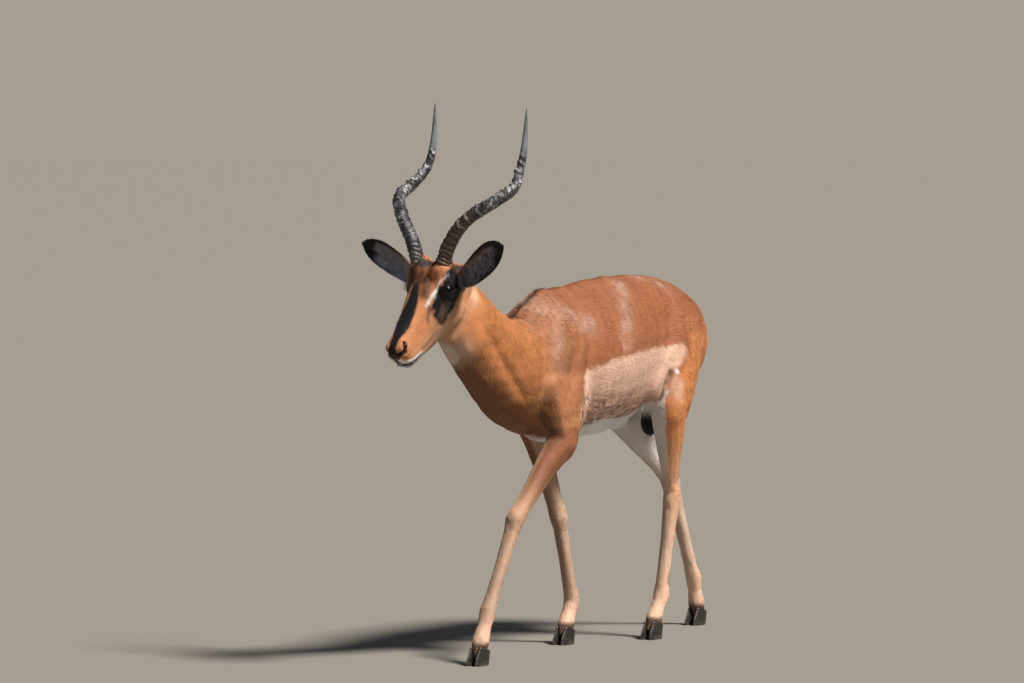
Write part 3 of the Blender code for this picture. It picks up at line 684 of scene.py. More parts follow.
def fold_marks(coat, q, grain):
    """Painted shade in the fold in front of each thigh, the pale patch behind it and the white spot over it.
    """
    x, y, z = q.T
    flanks = np.abs(x) > 0.05
    fold = from_line(y, z, FLANK_FOLD)[0]
    # painted shade: dark brown along the crease of the fold
    coat.lay("dark_brown", flanks * fall(0.0016, 0.0060, fold) * 0.85)
    pale = np.hypot((y - 0.158) / 0.028, (z - 0.578) / 0.046) + 0.10 * waves(q, 0.02, 26)
    coat.lay("flank", flanks * (y > 0.13) * fall(0.35, 1.0, pale) * 0.6)
    spot = np.hypot(y - 0.160, z - 0.616) + 0.001
    coat.lay("white", flanks * fall(0.0036, 0.0072, spot + 0.001 * grain))


def belly_marks(coat, q, normals, grain):
    """White below the body."""
    x, y, z = q.T
    side = np.abs(x)
    belly = fall(-0.003, 0.004, z + EDGE_GRAIN * grain - along_edge(BELLY_EDGE, y))
    belly *= ease(-0.262, -0.250, y) * fall(0.30, 0.34, y) * (side < 0.098)
    under = ease(0.55, 0.75, -normals[:, 2]) * (side < 0.06) * ease(0.44, 0.46, z)
    under = under * ease(-0.30, -0.26, y) * (y < 0.33)
    coat.lay("white", np.maximum(belly, under * (z < 0.60)))


def leg_marks(coat, q, normals):
    """Legs paling towards the feet, white or cream inside, with glands and coronets; painted shade on fronts
    and hind insides.
    """
    x, _, z = q.T
    back = normals[:, 1]
    for leg, joints in LEG_JOINTS.items():
        hand = 1 if leg.endswith("left") else -1
        fore = leg.startswith("fore")
        distance = from_path(q, joints[1:])[0]
        own = (distance < 0.075) & (x * hand > -0.004) & (z < joints[1][2] + 0.03)
        lower = own * fall(0.37, 0.50, z)
        facing = normals[:, 0] * hand
        coat.lay("leg", lower)
        if fore:
            coat.lay("fore_leg", own * fall(0.48, 0.555, z) * ease(0.32, 0.44, z))
        coat.lay("leg_low", lower * fall(0.24, 0.40, z))
        if fore:
            coat.darken(0.33 * lower * ease(0.04, 0.14, z))
            coat.lay("cream", own * fall(-0.5, 0.1, facing) * ease(0.10, 0.3, z) * 0.50)
            edge = own * ease(0.40, 0.9, back) * ease(0.34, 0.40, z) * fall(0.52, 0.55, z)
            coat.lay("white", edge * 0.9)
        else:
            inward = fall(-0.05, 0.18, facing + 0.25 * (back > 0.3) - 0.30 * (back < -0.5))
            inner = own * inward * (ease(0.10, 0.24, z) * fall(0.565, 0.590, z))
            coat.lay("white", inner * (0.15 + 0.85 * ease(0.32, 0.42, z)))
            # painted shade: the greyish inner layer dulls the white inside the hind legs
            coat.lay("inner", inner * 0.40)
            heel = np.array(joints[3]) + np.array((0, 0.012, 0.040))
            gland = fall(0.014, 0.024, np.linalg.norm((q - heel) * (1, 1, 0.75), axis=1))
            coat.lay("black", gland * ease(-0.1, 0.3, back))
        # painted shade: darker down the forward-facing fronts of the legs
        front_shade = ease(0.55, 0.98, -back) * lower * ease(0.09, 0.16, z)
        coat.lay("dark_brown", front_shade * (0.34 if fore else 0.14))
        coat.lay("dark_brown", own * fall(0.046, 0.056, z) * 0.9)


def rump_marks(coat, q, normals):
    """A white rump between black stripes, a white-edged tail with a black line, and a scrotum painted black
    as shade.
    """
    x, y, z = q.T
    side, back = np.abs(x), normals[:, 1]
    white = (y > 0.34) * fall(0.050, 0.056, side) * (z < 0.735)
    white = white * ease(0.49, 0.53, z) * ease(0.2, 0.5, back)
    stripe = from_path(np.stack([side, y, z], axis=1), RUMP_STRIPE)[0]
    tail, beside = tail_place(q)
    coat.lay("white", np.where(tail, 0, white))
    coat.lay("black", fall(0.0065, 0.0105, stripe) * (y > 0.3) * ~tail)
    coat.lay("haunch", tail)
    coat.lay("white", tail * (ease(0.012, 0.018, beside) + (back < 0) + (z < 0.515)))
    coat.lay("black", tail * fall(0.005, 0.008, beside) * (back > 0) * (z < 0.73))
    # painted shade: the scrotum painted black where it hangs in the shade under the belly
    shaded_scrotum = fall(0.034, 0.046, np.linalg.norm(q - np.array((0, 0.262, 0.495)), axis=1))
    coat.lay("black", shaded_scrotum * (side < 0.03) * 1.2 * fall(0.494, 0.532, z))


def back_marks(coat, q, normals, grain):
    """Painted sheen in pale patches, and a dark crest over the shoulders that thins to a faint line along the
    back.
    """
    x, y, z = q.T
    mirrored = np.stack([np.abs(x), y, z], axis=1)
    wear_and_sheen = np.zeros(len(q))
    for width, path in SHEEN_PATCHES:
        wear_and_sheen = np.maximum(wear_and_sheen, bell(from_path(mirrored, path)[0], width))
    wear_and_sheen *= 0.35 + 0.65 * ease(-0.6, 0.7, waves(q, 0.045, 24) + 0.5 * waves(q * (1, 0.4, 1), 0.012, 25))
    # painted sheen: paler hair where the coat's highlights fall on the back, withers and shoulders
    coat.lay("sheen", 0.50 * wear_and_sheen)
    crest = bell(x + 0.003 * grain, 0.0062) * (normals[:, 2] > 0) * ease(-0.42, -0.37, y)
    coat.lay("crest", crest * (fall(-0.24, -0.14, y) * (z > 0.70)))
    coat.lay("dark_brown", bell(x, 0.008) * (normals[:, 2] > 0.5) * ease(-0.2, -0.1, y) * 0.40)


def shaded_marks(coat, q, normals):
    """Painted shade under the neck and on the breast, and a painted darkening of upward faces along the top
    of the back.
    """
    _, y, z = q.T
    neck = fall(-0.42, -0.30, y) * ease(0.10, 0.50, -normals[:, 2]) * ease(0.44, 0.50, z)
    breast_shade = fall(-0.34, -0.27, y) * ease(0.30, 0.75, -normals[:, 1]) * ease(0.44, 0.50, z)
    breast_shade = breast_shade * fall(0.56, 0.63, z)
    # painted shade under the neck and on the forward-facing breast
    coat.darken(0.60 * np.maximum(neck, breast_shade * 0.9))
    # painted darkening of upward-facing surfaces high up, against the light from above
    coat.darken(0.20 * ease(0.15, 0.75, normals[:, 2]) * ease(0.60, 0.66, z))


def inside(across, up, outline, soft):
    """How far inside a flat outline each place lies: 0 outside, 1 further in than `soft`."""
    corners = np.array(outline, float)
    within = np.zeros(len(across), bool)
    for (ax, ay), (bx, by) in zip(corners, np.roll(corners, -1, axis=0)):
        crosses = (ay > up) != (by > up)
        within ^= crosses & (across < (bx - ax) * (up - ay) / (by - ay + 1e-12) + ax)
    distance = from_line(across, up, outline + outline[:1])[0]
    return ease(-soft, soft, np.where(within, distance, -distance))


def face_marks(coat, points):
    """Black blaze, white brow stripe, black eye patch, pale lips: the face of the dark-faced race."""
    head = head_weight(points)
    f, l, u = face_place(points)
    rough = 0.0012 * waves(points, 0.012, 51)
    side, f, u = np.abs(l), f + rough, u + rough
    coat.lay("muzzle", head * ease(-0.10, -0.06, f) * (u > -0.135))
    coat.lay("cheek", head * ease(-0.110, -0.070, f) * fall(-0.060, -0.030, u) * (u > -0.135))
    nape = oval(points - STAND, (0.038, -0.600, 0.815), (0.026, 0.024, 0.028))
    coat.lay("cream", fall(0.3, 1.0, nape) * 0.5)
    coat.lay("forehead", head * fall(0.020, 0.040, side) * fall(0.055, 0.085, f) * (u > -0.03))
    jaw = fall(-0.080, -0.046, u + 0.30 * (f - 0.10))
    coat.lay("cream", head * jaw * ease(0.05, 0.12, f) * 0.50)
    eye_marks(coat, points, head, f, side, u)
    blaze_marks(coat, head, f, l, u)
    muzzle_marks(coat, head, np.stack([f, side, u], axis=1))


def eye_marks(coat, points, head, f, side, u):
    """The black patch round each eye, a tear line before it and a white stripe over it."""
    dark = inside(f, u, EYE_PATCH, 0.002) * (side > 0.027)
    coat.lay("black", head * dark)
    # painted sheen: the fore part of the black eye patch greyed where light catches the hair
    coat.lay("soot", head * (inside(f, u, EYE_SHEEN_PATCH, 0.005) * (side > 0.027)) * 0.9)
    coat.lay("soot", head * inside(f, u, EAR_PATCH, 0.006) * (side > 0.03) * (1 - dark) * 0.85)
    tear, share = from_line(f, u, TEAR_LINE)
    coat.lay("soot", head * fall(0.0026, 0.0056, tear) * (1.0 - 0.40 * share) * (side > 0.026))
    stripe, share = from_line(f, side, BROW_STRIPE)
    width = 0.0017 * np.sin(math.pi * np.clip(share * 0.94 + 0.03, 0, 1)) ** 0.8
    fade = 0.50 + 0.50 * ease(0.15, 0.45, share) - 0.18 * ease(0.2, 0.8, waves(points, 0.010, 53))
    above_eye = ease(-0.002, 0.002, u - np.interp(f, [0.03, 0.06], [-0.011, -0.020]))
    coat.lay("white", head * fade * fall(-0.0010, 0.0014, stripe - width) * above_eye)


def blaze_marks(coat, head, f, l, u):
    """The blaze: wide over the nose, a narrow frayed band up the forehead; brown strands, partly painted
    shade, and a black poll.
    """
    upper = fall(0.034, 0.060, f)
    fray = ease(-0.5, 0.6, waves(np.stack([f * 0.22, l, 0 * u], axis=1), 0.0065, 52))
    # brown strands: darker hair, with painted shade of the brow ridge and of the forehead's far side
    for width, strength, path in BROW_STRANDS:
        shade = fall(width * 0.10, width * 1.25, from_line(f, l, path)[0])
        coat.lay("brow_brown", head * shade * (u > -0.02) * (strength * (0.84 + 0.16 * fray)))
    past = np.abs(l - along_edge(BLAZE_MIDDLE, f)) - along_edge(BLAZE_HALF, f) - 0.003 * upper
    over = fall(-0.0016 - 0.004 * upper, 0.0016 + 0.003 * upper, past)
    over = head * ((u > -0.028) & (f > 0.006)) * over
    coat.lay("black", over * (1 - upper * (0.20 + 0.45 * (1 - fray))))
    poll = from_path(np.stack([f, np.abs(l), u], axis=1), POLL)[0]
    coat.lay("black", head * fall(0.009, 0.014, poll))


def muzzle_marks(coat, head, place):
    """White lips, dark nose, nostrils and mouth, and a grey chin, partly painted shade."""
    f, side, u = place.T
    lip, share = from_path(place, LIP)
    thick = 0.0066 - 0.0042 * share
    coat.lay("white", head * fall(-0.001, 0.0018, lip - thick) * (1 - 0.40 * share))
    nose = ease(0.196, 0.200, f) * fall(-0.001, 0.002, side - along_edge(NOSE_HALF, f)) * (u > -0.026)
    tip = (f > 0.215) * fall(-0.001, 0.0015, side - 0.0062) * (u > -0.043)
    coat.lay("nose", np.maximum(nose, tip) * head)
    flat = (1, 0.35, 1)
    nostril = from_path(place * flat, np.array(NOSTRIL) * flat)[0]
    coat.lay("black", head * fall(0.0046, 0.0062, nostril) * (side > 0.012))
    # the chin: pale hair laid on in a bluish grey, partly painted shade
    coat.lay("chin", head * ease(0.168, 0.186, f) * ease(0.0015, 0.0035, -(u - along_edge(CHIN_TOP, f))))
    coat.lay("chin", head * (f > 0.215) * ease(0.0395, 0.0425, -u) * (side < 0.012))
    coat.lay("black", head * fall(0.0020, 0.0038, from_path(place, MOUTH)[0]))


def ear_marks(coat, points, normals):
    """Whorled grey hair inside the ears, the left one darker as painted shade, black rims and tips, and brown
    backs.
    """
    for _, hand in SIDES:
        share, across, local = ear_place(points, hand)
        ear = ease(0.02, 0.12, share) * (local[:, 1] > 0.058) * (points[:, 2] > EARS_ABOVE)
        ear = ear * (points[:, 1] < EARS_BEFORE) * fall(0.018, 0.026, face_place(points)[0])
        front = ear * ease(-0.25, 0.25, normals @ HEADING)
        low = (across - 0.002) / along_edge(EAR_HALF, share)
        coat.lay("ear_back", ear)
        coat.lay("ear_grey", front)
        coat.lay("ear_blue", front * ease(-0.1, 0.6, low) * fall(0.60, 0.80, share))
        run = (share - 0.52) * EAR_LENGTH
        whorl = np.hypot(run, across) * 2 * math.pi / WHORL_SPACING + 2 * np.arctan2(across, run)
        whorl = ease(-0.1, 0.8, np.sin(whorl + 2.2 * waves(points, 0.026, 61)))
        # painted shade: the left ear's inside darker than the right's
        coat.lay("ear_dark", front * (0.20 * (hand > 0) + (0.60 + 0.16 * hand) * whorl))
        coat.lay("ear_dark", front * fall(0.12, 0.32, share) * 0.6)
        coat.lay("ear_back", front * ease(0.62, 0.88, -low) * fall(0.70, 0.80, share) * 0.55)
        tuft = bell(np.linalg.norm(local - np.array((-0.020, 0.088, -0.020)), axis=1), 0.012)
        # painted shade: the white tuft weaker in the left ear
        coat.lay("white", front * tuft * (0.9 if hand < 0 else 0.4))
        blot = ease(0.60, 0.84, low + 0.14 * waves(points, 0.022, 62)) * ease(0.35, 0.55, share)
        rim = ease(0.86, 0.97, np.abs(low)) * ease(0.2, 0.4, share)
        coat.lay("black", ear * np.maximum(blot, rim) * 0.92)
        tip = share + 0.07 * (low > 0) + 0.02 * waves(points, 0.02, 63)
        coat.lay("black", ear * ease(0.77, 0.84, tip))


# ---------------------------------------------------------------- lie, length and density of the hair
def leg_axis(q):
    """Direction down the nearest leg, and the distance from that leg's middle line."""
    flow, nearest = np.zeros_like(q), np.full(len(q), 1e9)
    for leg, joints in LEG_JOINTS.items():
        hand = 1 if leg.endswith("left") else -1
        for a, b in zip(joints[1:], joints[2:]):
            distance = from_path(q, [a, b])[0] + 1.0 * (q[:, 0] * hand < -0.02)
            closer = distance < nearest
            nearest = np.where(closer, distance, nearest)
            flow = np.where(closer[:, None], unit(np.array(b) - np.array(a)), flow)
    return flow, nearest


def turned(flow, share, towards):
    """Directions turned by a share of the way towards others."""
    return flow + share[:, None] * (towards - flow)


def lie_of_coat(points, normals):
    """Which way the hair lies: from nose to tail, down the flanks and legs, out along the ears."""
    q = points - STAND
    _, y, z = q.T
    flow = np.tile(np.array((0.0, 1.0, -0.20)), (len(q), 1))
    neck = fall(-0.40, -0.28, y)
    flow = turned(flow, neck, np.array((0.0, 0.85, -0.75)))
    flow = turned(flow, neck * ease(0.0, 0.6, -normals[:, 1]), np.array((0.0, 0.25, -1.0)))
    shoulder = bell(y + 0.27, 0.09) * fall(0.70, 0.80, z)
    flow = turned(flow, shoulder, np.array((0.0, 0.45, -0.9)))
    rump = np.maximum(ease(0.24, 0.40, y), ease(0.10, 0.18, y) * fall(0.62, 0.72, z))
    flow = turned(flow, rump, np.array((0.0, 0.35, -1.0)))
    legs, distance = leg_axis(q)
    flow = turned(flow, fall(LEG_TOP, 0.60, z) * fall(0.07, 0.11, distance), legs)
    flow = turned(flow, tail_place(q)[0].astype(float), np.array((0.0, 0.02, -1.0)))
    jaw = face_place(points)[2] < -0.04
    back = -FACE_FORWARD + UP * 0.10
    flow = turned(flow, head_weight(points), back - 0.35 * FACE_UP * jaw[:, None])
    axis = EAR_TIP - EAR_ROOT
    for _, hand in SIDES:
        share, _, local = ear_place(points, hand)
        ear = ease(0.02, 0.12, share) * (local[:, 1] > 0.055) * (z > EARS_ABOVE) * (y < HEAD_BEFORE)
        flow = turned(flow, ear, unit(HEADING * axis[0] + HEAD_LEFT * axis[1] * hand + UP * axis[2]))
    flow = flow + 0.12 * np.stack([waves(q, 0.06, seed) for seed in (71, 72, 73)], axis=1)
    flow -= normals * np.sum(flow * normals, axis=1, keepdims=True)
    return unit(flow)


def hair_length(points, normals):
    """Length of the tufts, in metres: shortest on the face and feet."""
    q = points - STAND
    x, y, z = q.T
    head = head_weight(points)
    fold = from_line(y, z, [(0.160, 0.625), (0.130, 0.560), (0.125, 0.520)])[0]
    length = 0.0060 + 0.0060 * ease(0.38, 0.60, z)
    length = length * (1 - 0.55 * bell(fold, 0.022)) * (1 - head) + 0.0052 * head
    f, l, u = face_place(points)
    length = np.where(head > 0.5, 0.0030 + 0.0026 * fall(0.00, 0.15, f), length)
    crest = bell(x, 0.010) * (normals[:, 2] > 0.2) * ease(-0.46, -0.38, y) * fall(-0.25, -0.12, y)
    length += 0.005 * crest
    length += 0.020 * tail_place(q)[0] * ease(0.0, 0.1, 0.70 - z)
    length += 0.006 * fall(0.44, 0.50, z) * ease(0.40, 0.43, z) * (y < -0.1) * (np.abs(x) < 0.06)
    length += 0.004 * head * (np.abs(l) < 0.03) * (f < 0.012) * (u > -0.04)
    for _, hand in SIDES:
        share = ear_place(points, hand)[0]
        inside_ear = ear_weight(points) * ease(-0.1, 0.3, normals @ HEADING) * (l * hand > 0)
        length += 0.004 * inside_ear * fall(0.70, 0.85, share) * ease(0.05, 0.2, share)
    return length


# the coat's pieces: tufts for each square metre, least spacing, width, and lift in radians
TRUNK_HAIR = (125000, 0.0020, 0.0018, 0.050)
LEG_HAIR = (170000, 0.0018, 0.0015, 0.055)
COATS = {
    "face": (330000, 0.0012, 0.0011, 0.055), "ears": (230000, 0.0015, 0.0011, 0.12),
    "neck": (190000, 0.0016, 0.0014, 0.085), "fore_trunk_left": TRUNK_HAIR, "fore_trunk_right": TRUNK_HAIR,
    "rear_trunk_left": TRUNK_HAIR, "rear_trunk_right": TRUNK_HAIR, "fore_legs": LEG_HAIR,
    "hind_legs": LEG_HAIR,
}
FACE, EARS, NECK, FORE_LEFT, FORE_RIGHT, REAR_LEFT, REAR_RIGHT, FORE_LEGS, HIND_LEGS = range(len(COATS))


def region_of(middles):
    """Number of the coat piece that each face of the skin belongs to."""
    q = middles - STAND
    x, y, z = q.T
    fore = y < TRUNK_MIDDLE
    region = np.where(x > 0, np.where(fore, FORE_LEFT, REAR_LEFT), np.where(fore, FORE_RIGHT, REAR_RIGHT))
    region = np.where((y < NECK_BEFORE) & (z > LEG_TOP), NECK, region)
    to_fore, to_hind = [np.minimum(*(from_path(q, LEG_JOINTS[f"{end}_{side}"][1:])[0] for side, _ in SIDES))
                        for end in ("fore", "hind")]
    limb = (z < LEG_TOP) & (leg_axis(q)[1] < 0.09)
    region = np.where(limb, np.where(to_fore < to_hind, FORE_LEGS, HIND_LEGS), region)
    region = np.where(head_weight(middles) > 0.5, FACE, region)
    for _, hand in SIDES:
        share, _, local = ear_place(middles, hand)
        ear = (share > 0.04) & (local[:, 1] > 0.058) & (z > EARS_ABOVE) & (y < HEAD_BEFORE)
        region = np.where(ear, EARS, region)
    return region


def tuft_mesh(name, curl):
    """A flat leaf of hair with a low ridge: root at the origin, one unit long along Y, tip curling down."""
    points = [(-0.34, 0.0, -0.10), (0.34, 0.0, -0.10), (-0.50, 0.42, 0.20), (0.50, 0.40, 0.20),
              (0.03, 0.36, 0.85), (curl, 1.0, 0.10)]
    faces = [(0, 1, 4), (0, 4, 2), (1, 3, 4), (2, 4, 5), (3, 5, 4), (0, 2, 3, 1), (2, 5, 3)]
    mesh = mesh_from(name, points, faces)
    give(mesh, "tip", np.array((0.0, 0.0, 0.5, 0.5, 0.55, 1.0)))
    flat = mesh.attributes.new("tuft_uv", "FLOAT2", "CORNER")
    for loop in mesh.loops:
        point = points[loop.vertex_index]
        flat.data[loop.index].vector = (point[0] + 0.5, point[1])
    return mesh


TUFT_THICKNESS, TUFT_PATCH = 0.26, 0.003       # as a share of its width; side of its square on the flat map


def tuft_group(material):
    """Nodes that scatter tufts over one region of the skin, lying the way the coat lies."""
    tree = bpy.data.node_groups.new("tufts along the coat", "GeometryNodeTree")
    sockets = tree.interface
    for name, kind in (("Skin", "Geometry"), ("Region", "Int"), ("Tuft A", "Object"), ("Tuft B", "Object"),
                       ("Density", "Float"), ("Spacing", "Float"), ("Width", "Float"), ("Lift", "Float"),
                       ("Seed", "Int")):
        sockets.new_socket(name, in_out="INPUT", socket_type=f"NodeSocket{kind}")
    sockets.new_socket("Coat", in_out="OUTPUT", socket_type="NodeSocketGeometry")
    entry = add(tree, "NodeGroupInput").outputs

    def named(name, kind):
        return add(tree, "GeometryNodeInputNamedAttribute", {"Name": name}, data_type=kind).outputs[0]

    def number(low, high, offset):
        """A random number for each tuft; the offset tells one kind of number from the next."""
        seed = maths(tree, "ADD", entry["Seed"], float(offset))
        made = add(tree, "FunctionNodeRandomValue", {2: low, 3: high, "Seed": seed}, data_type="FLOAT")
        return made.outputs[1]

    chosen = add(tree, "FunctionNodeCompare", {2: named("region", "INT"), 3: entry["Region"]},
                 data_type="INT", operation="EQUAL").outputs[0]
    spread = add(tree, "GeometryNodeDistributePointsOnFaces",
                 {"Mesh": entry["Skin"], "Selection": chosen, "Distance Min": entry["Spacing"],
                  "Density Max": entry["Density"], "Seed": entry["Seed"]}, distribute_method="POISSON")
    spread.inputs["Density Factor"].default_value = 1.0
    flat = named("OFBake", "FLOAT_VECTOR")
    rooted = add(tree, "GeometryNodeStoreNamedAttribute",
                 {"Geometry": spread.outputs["Points"], "Name": "root_uv", "Value": flat},
                 data_type="FLOAT_VECTOR", domain="POINT").outputs[0]
    rooted = add(tree, "GeometryNodeStoreNamedAttribute",
                 {"Geometry": rooted, "Name": "tone", "Value": number(0.0, 1.0, 1)},
                 data_type="FLOAT", domain="POINT").outputs[0]
    upright = add(tree, "FunctionNodeAlignRotationToVector", {"Vector": spread.outputs["Normal"]},
                  axis="Z").outputs[0]
    lying = add(tree, "FunctionNodeAlignRotationToVector",
                {"Rotation": upright, "Vector": named("lie", "FLOAT_VECTOR")},
                axis="Y", pivot_axis="Z").outputs[0]
    tilt = maths(tree, "MULTIPLY", entry["Lift"], number(0.3, 1.7, 2))
    roll, yaw = number(-0.25, 0.25, 3), number(-0.16, 0.16, 4)
    sway = add(tree, "ShaderNodeCombineXYZ", {"X": tilt, "Y": roll, "Z": yaw})
    turn = add(tree, "FunctionNodeEulerToRotation", {"Euler": sway.outputs[0]}).outputs[0]
    rotation = add(tree, "FunctionNodeRotateRotation", {"Rotation": lying, "Rotate By": turn},
                   rotation_space="LOCAL").outputs[0]
    length = maths(tree, "MULTIPLY", named("hair_length", "FLOAT"), number(0.75, 1.25, 5))
    width = maths(tree, "MULTIPLY", entry["Width"], number(0.7, 1.3, 6))
    thick = maths(tree, "MULTIPLY", width, TUFT_THICKNESS)
    size = add(tree, "ShaderNodeCombineXYZ", {"X": width, "Y": length, "Z": thick}).outputs[0]
    shapes = add(tree, "GeometryNodeJoinGeometry")
    for key in ("Tuft A", "Tuft B"):
        shape = add(tree, "GeometryNodeObjectInfo", {"Object": entry[key], "As Instance": True})
        tree.links.new(shape.outputs["Geometry"], shapes.inputs[0])
    placed = add(tree, "GeometryNodeInstanceOnPoints",
                 {"Points": rooted, "Instance": shapes.outputs[0], "Pick Instance": True,
                  "Rotation": rotation, "Scale": size}).outputs[0]
    solid = add(tree, "GeometryNodeRealizeInstances", {"Geometry": placed}).outputs[0]
    # each tuft takes a small square of the flat map, round the place of its root
    patch = vectors(tree, "SUBTRACT", named("tuft_uv", "FLOAT_VECTOR"), (0.5, 0.5, 0.0))
    patch = vectors(tree, "ADD", scaled(tree, patch, TUFT_PATCH), named("root_uv", "FLOAT_VECTOR"))
    bare = add(tree, "GeometryNodeRemoveAttribute", {"Geometry": solid, "Name": "OFBake"}).outputs[0]
    mapped = add(tree, "GeometryNodeStoreNamedAttribute",
                 {"Geometry": bare, "Name": "OFBake", "Value": patch},
                 data_type="FLOAT2", domain="CORNER").outputs[0]
    for name in ("root_uv", "tuft_uv", "lie", "hair_length", "region"):
        mapped = add(tree, "GeometryNodeRemoveAttribute", {"Geometry": mapped, "Name": name}).outputs[0]
    finished = add(tree, "GeometryNodeSetMaterial", {"Geometry": mapped, "Material": material}).outputs[0]
    add(tree, "NodeGroupOutput", {"Coat": finished})
    return tree


def grow_coat(skin, material):
    """One object of solid tufts for each piece of the coat."""
    tree = tuft_group(material)
    shapes = [add_object(f"tuft_{i}", tuft_mesh(f"tuft_{i}", curl)) for i, curl in enumerate((0.25, -0.22))]
    made = []
    for number, (name, (density, spacing, width, lift)) in enumerate(COATS.items()):
        coat = add_object(f"coat_{name}", skin.data.copy())
        scatter = coat.modifiers.new("tufts", "NODES")
        scatter.node_group = tree
        values = {"Region": number, "Tuft A": shapes[0], "Tuft B": shapes[1], "Density": float(density),
                  "Spacing": spacing, "Width": width, "Lift": lift, "Seed": SEED + number}
        for item in tree.interface.items_tree:
            if item.in_out == "INPUT" and item.name in values:
                scatter[item.identifier] = values[item.name]
        bake_modifiers(coat)
        made.append(coat)
    for shape in shapes:
        bpy.data.objects.remove(shape, do_unlink=True)
    return made


# ---------------------------------------------------------------- finishes
def principled(name, roughness, specular=0.5, **uniform):
    """A new material with its node tree and shader; `uniform` sets other inputs of the shader."""
    material = bpy.data.materials.new(name)
    material.use_nodes = True
    tree = material.node_tree
    shader = tree.nodes["Principled BSDF"]
    shader.inputs["Roughness"].default_value = roughness
    shader.inputs["Specular IOR Level"].default_value = specular
    for key, value in uniform.items():
        shader.inputs[key.replace("_", " ")].default_value = value
    return material, tree, shader


def attribute(tree, name, output="Fac"):
    return add(tree, "ShaderNodeAttribute", attribute_name=name).outputs[output]


def mixed(tree, share, first, second, blend="MIX"):
    """Two colours mixed by a share; each is a socket or linear numbers."""
    node = tree.nodes.new("ShaderNodeMix")
    node.data_type, node.blend_type = "RGBA", blend
    for index, value in ((0, share), (6, first), (7, second)):
        if isinstance(value, bpy.types.NodeSocket):
            tree.links.new(value, node.inputs[index])
        elif index:
            node.inputs[index].default_value = (*value, 1.0)
        else:
            node.inputs[index].default_value = value
    return node.outputs[2]


def ramp(tree, value, low, high, out_low=0.0, out_high=1.0):
    """A number that goes from `out_low` to `out_high` as the value goes from `low` to `high`."""
    return add(tree, "ShaderNodeMapRange", {"Value": value, "From Min": low, "From Max": high,
                                            "To Min": out_low, "To Max": out_high}).outputs[0]


def object_place(tree):
    return add(tree, "ShaderNodeTexCoord").outputs["Object"]


def roughen(tree, shader, height, strength, distance):
    """Fine relief from a height, which only bends the light."""
    bump = add(tree, "ShaderNodeBump", {"Height": height, "Strength": strength, "Distance": distance})
    tree.links.new(bump.outputs[0], shader.inputs["Normal"])


def noise(tree, vector, size, detail=2.0):
    """Noise with bumps of about this size in metres."""
    made = add(tree, "ShaderNodeTexNoise", {"Vector": vector, "Scale": 1.0 / size, "Detail": detail})
    return made.outputs["Fac"]


def tuft_finish():
    """Short dry hair, darker at its root, with each tuft a shade of its own."""
    material, tree, shader = principled("hair tufts", 0.52, 0.26, Sheen_Weight=0.05, Sheen_Roughness=0.4)
    base = attribute(tree, "coat", "Color")
    tone = ramp(tree, attribute(tree, "tone"), 0.0, 1.0, 0.93, 1.07)
    tip = ramp(tree, attribute(tree, "tip"), 0.0, 1.0, 0.93, 1.04)
    place = object_place(tree)
    drift = ramp(tree, noise(tree, place, 0.006), 0.3, 0.7, 0.93, 1.06)
    shade = maths(tree, "MULTIPLY", maths(tree, "MULTIPLY", tone, tip), drift)
    tree.links.new(scaled(tree, base, shade), shader.inputs["Base Color"])
    return material


STRAND_STRETCH = 0.86                          # share of a place's way along the hair that is taken out


def skin_finish():
    """Short flat hair seen as streaks that follow its lie."""
    material, tree, shader = principled("short flat hair", 0.50, 0.26, Sheen_Weight=0.05, Sheen_Roughness=0.4)
    place = object_place(tree)
    lie = attribute(tree, "lie", "Vector")
    along = add(tree, "ShaderNodeVectorMath", {0: place, 1: lie}, operation="DOT_PRODUCT").outputs["Value"]
    shift = scaled(tree, lie, maths(tree, "MULTIPLY", along, -STRAND_STRETCH))
    combed = vectors(tree, "ADD", place, shift)
    strands = noise(tree, combed, 0.0011, 3.0)
    clumps = noise(tree, combed, 0.0032, 2.0)
    shade = maths(tree, "MULTIPLY", ramp(tree, strands, 0.3, 0.7, 0.86, 1.10),
                  ramp(tree, clumps, 0.3, 0.7, 0.90, 1.07))
    tree.links.new(scaled(tree, attribute(tree, "coat", "Color"), shade), shader.inputs["Base Color"])
    roughen(tree, shader, maths(tree, "ADD", strands, clumps), 0.55, 0.0006)
    return material


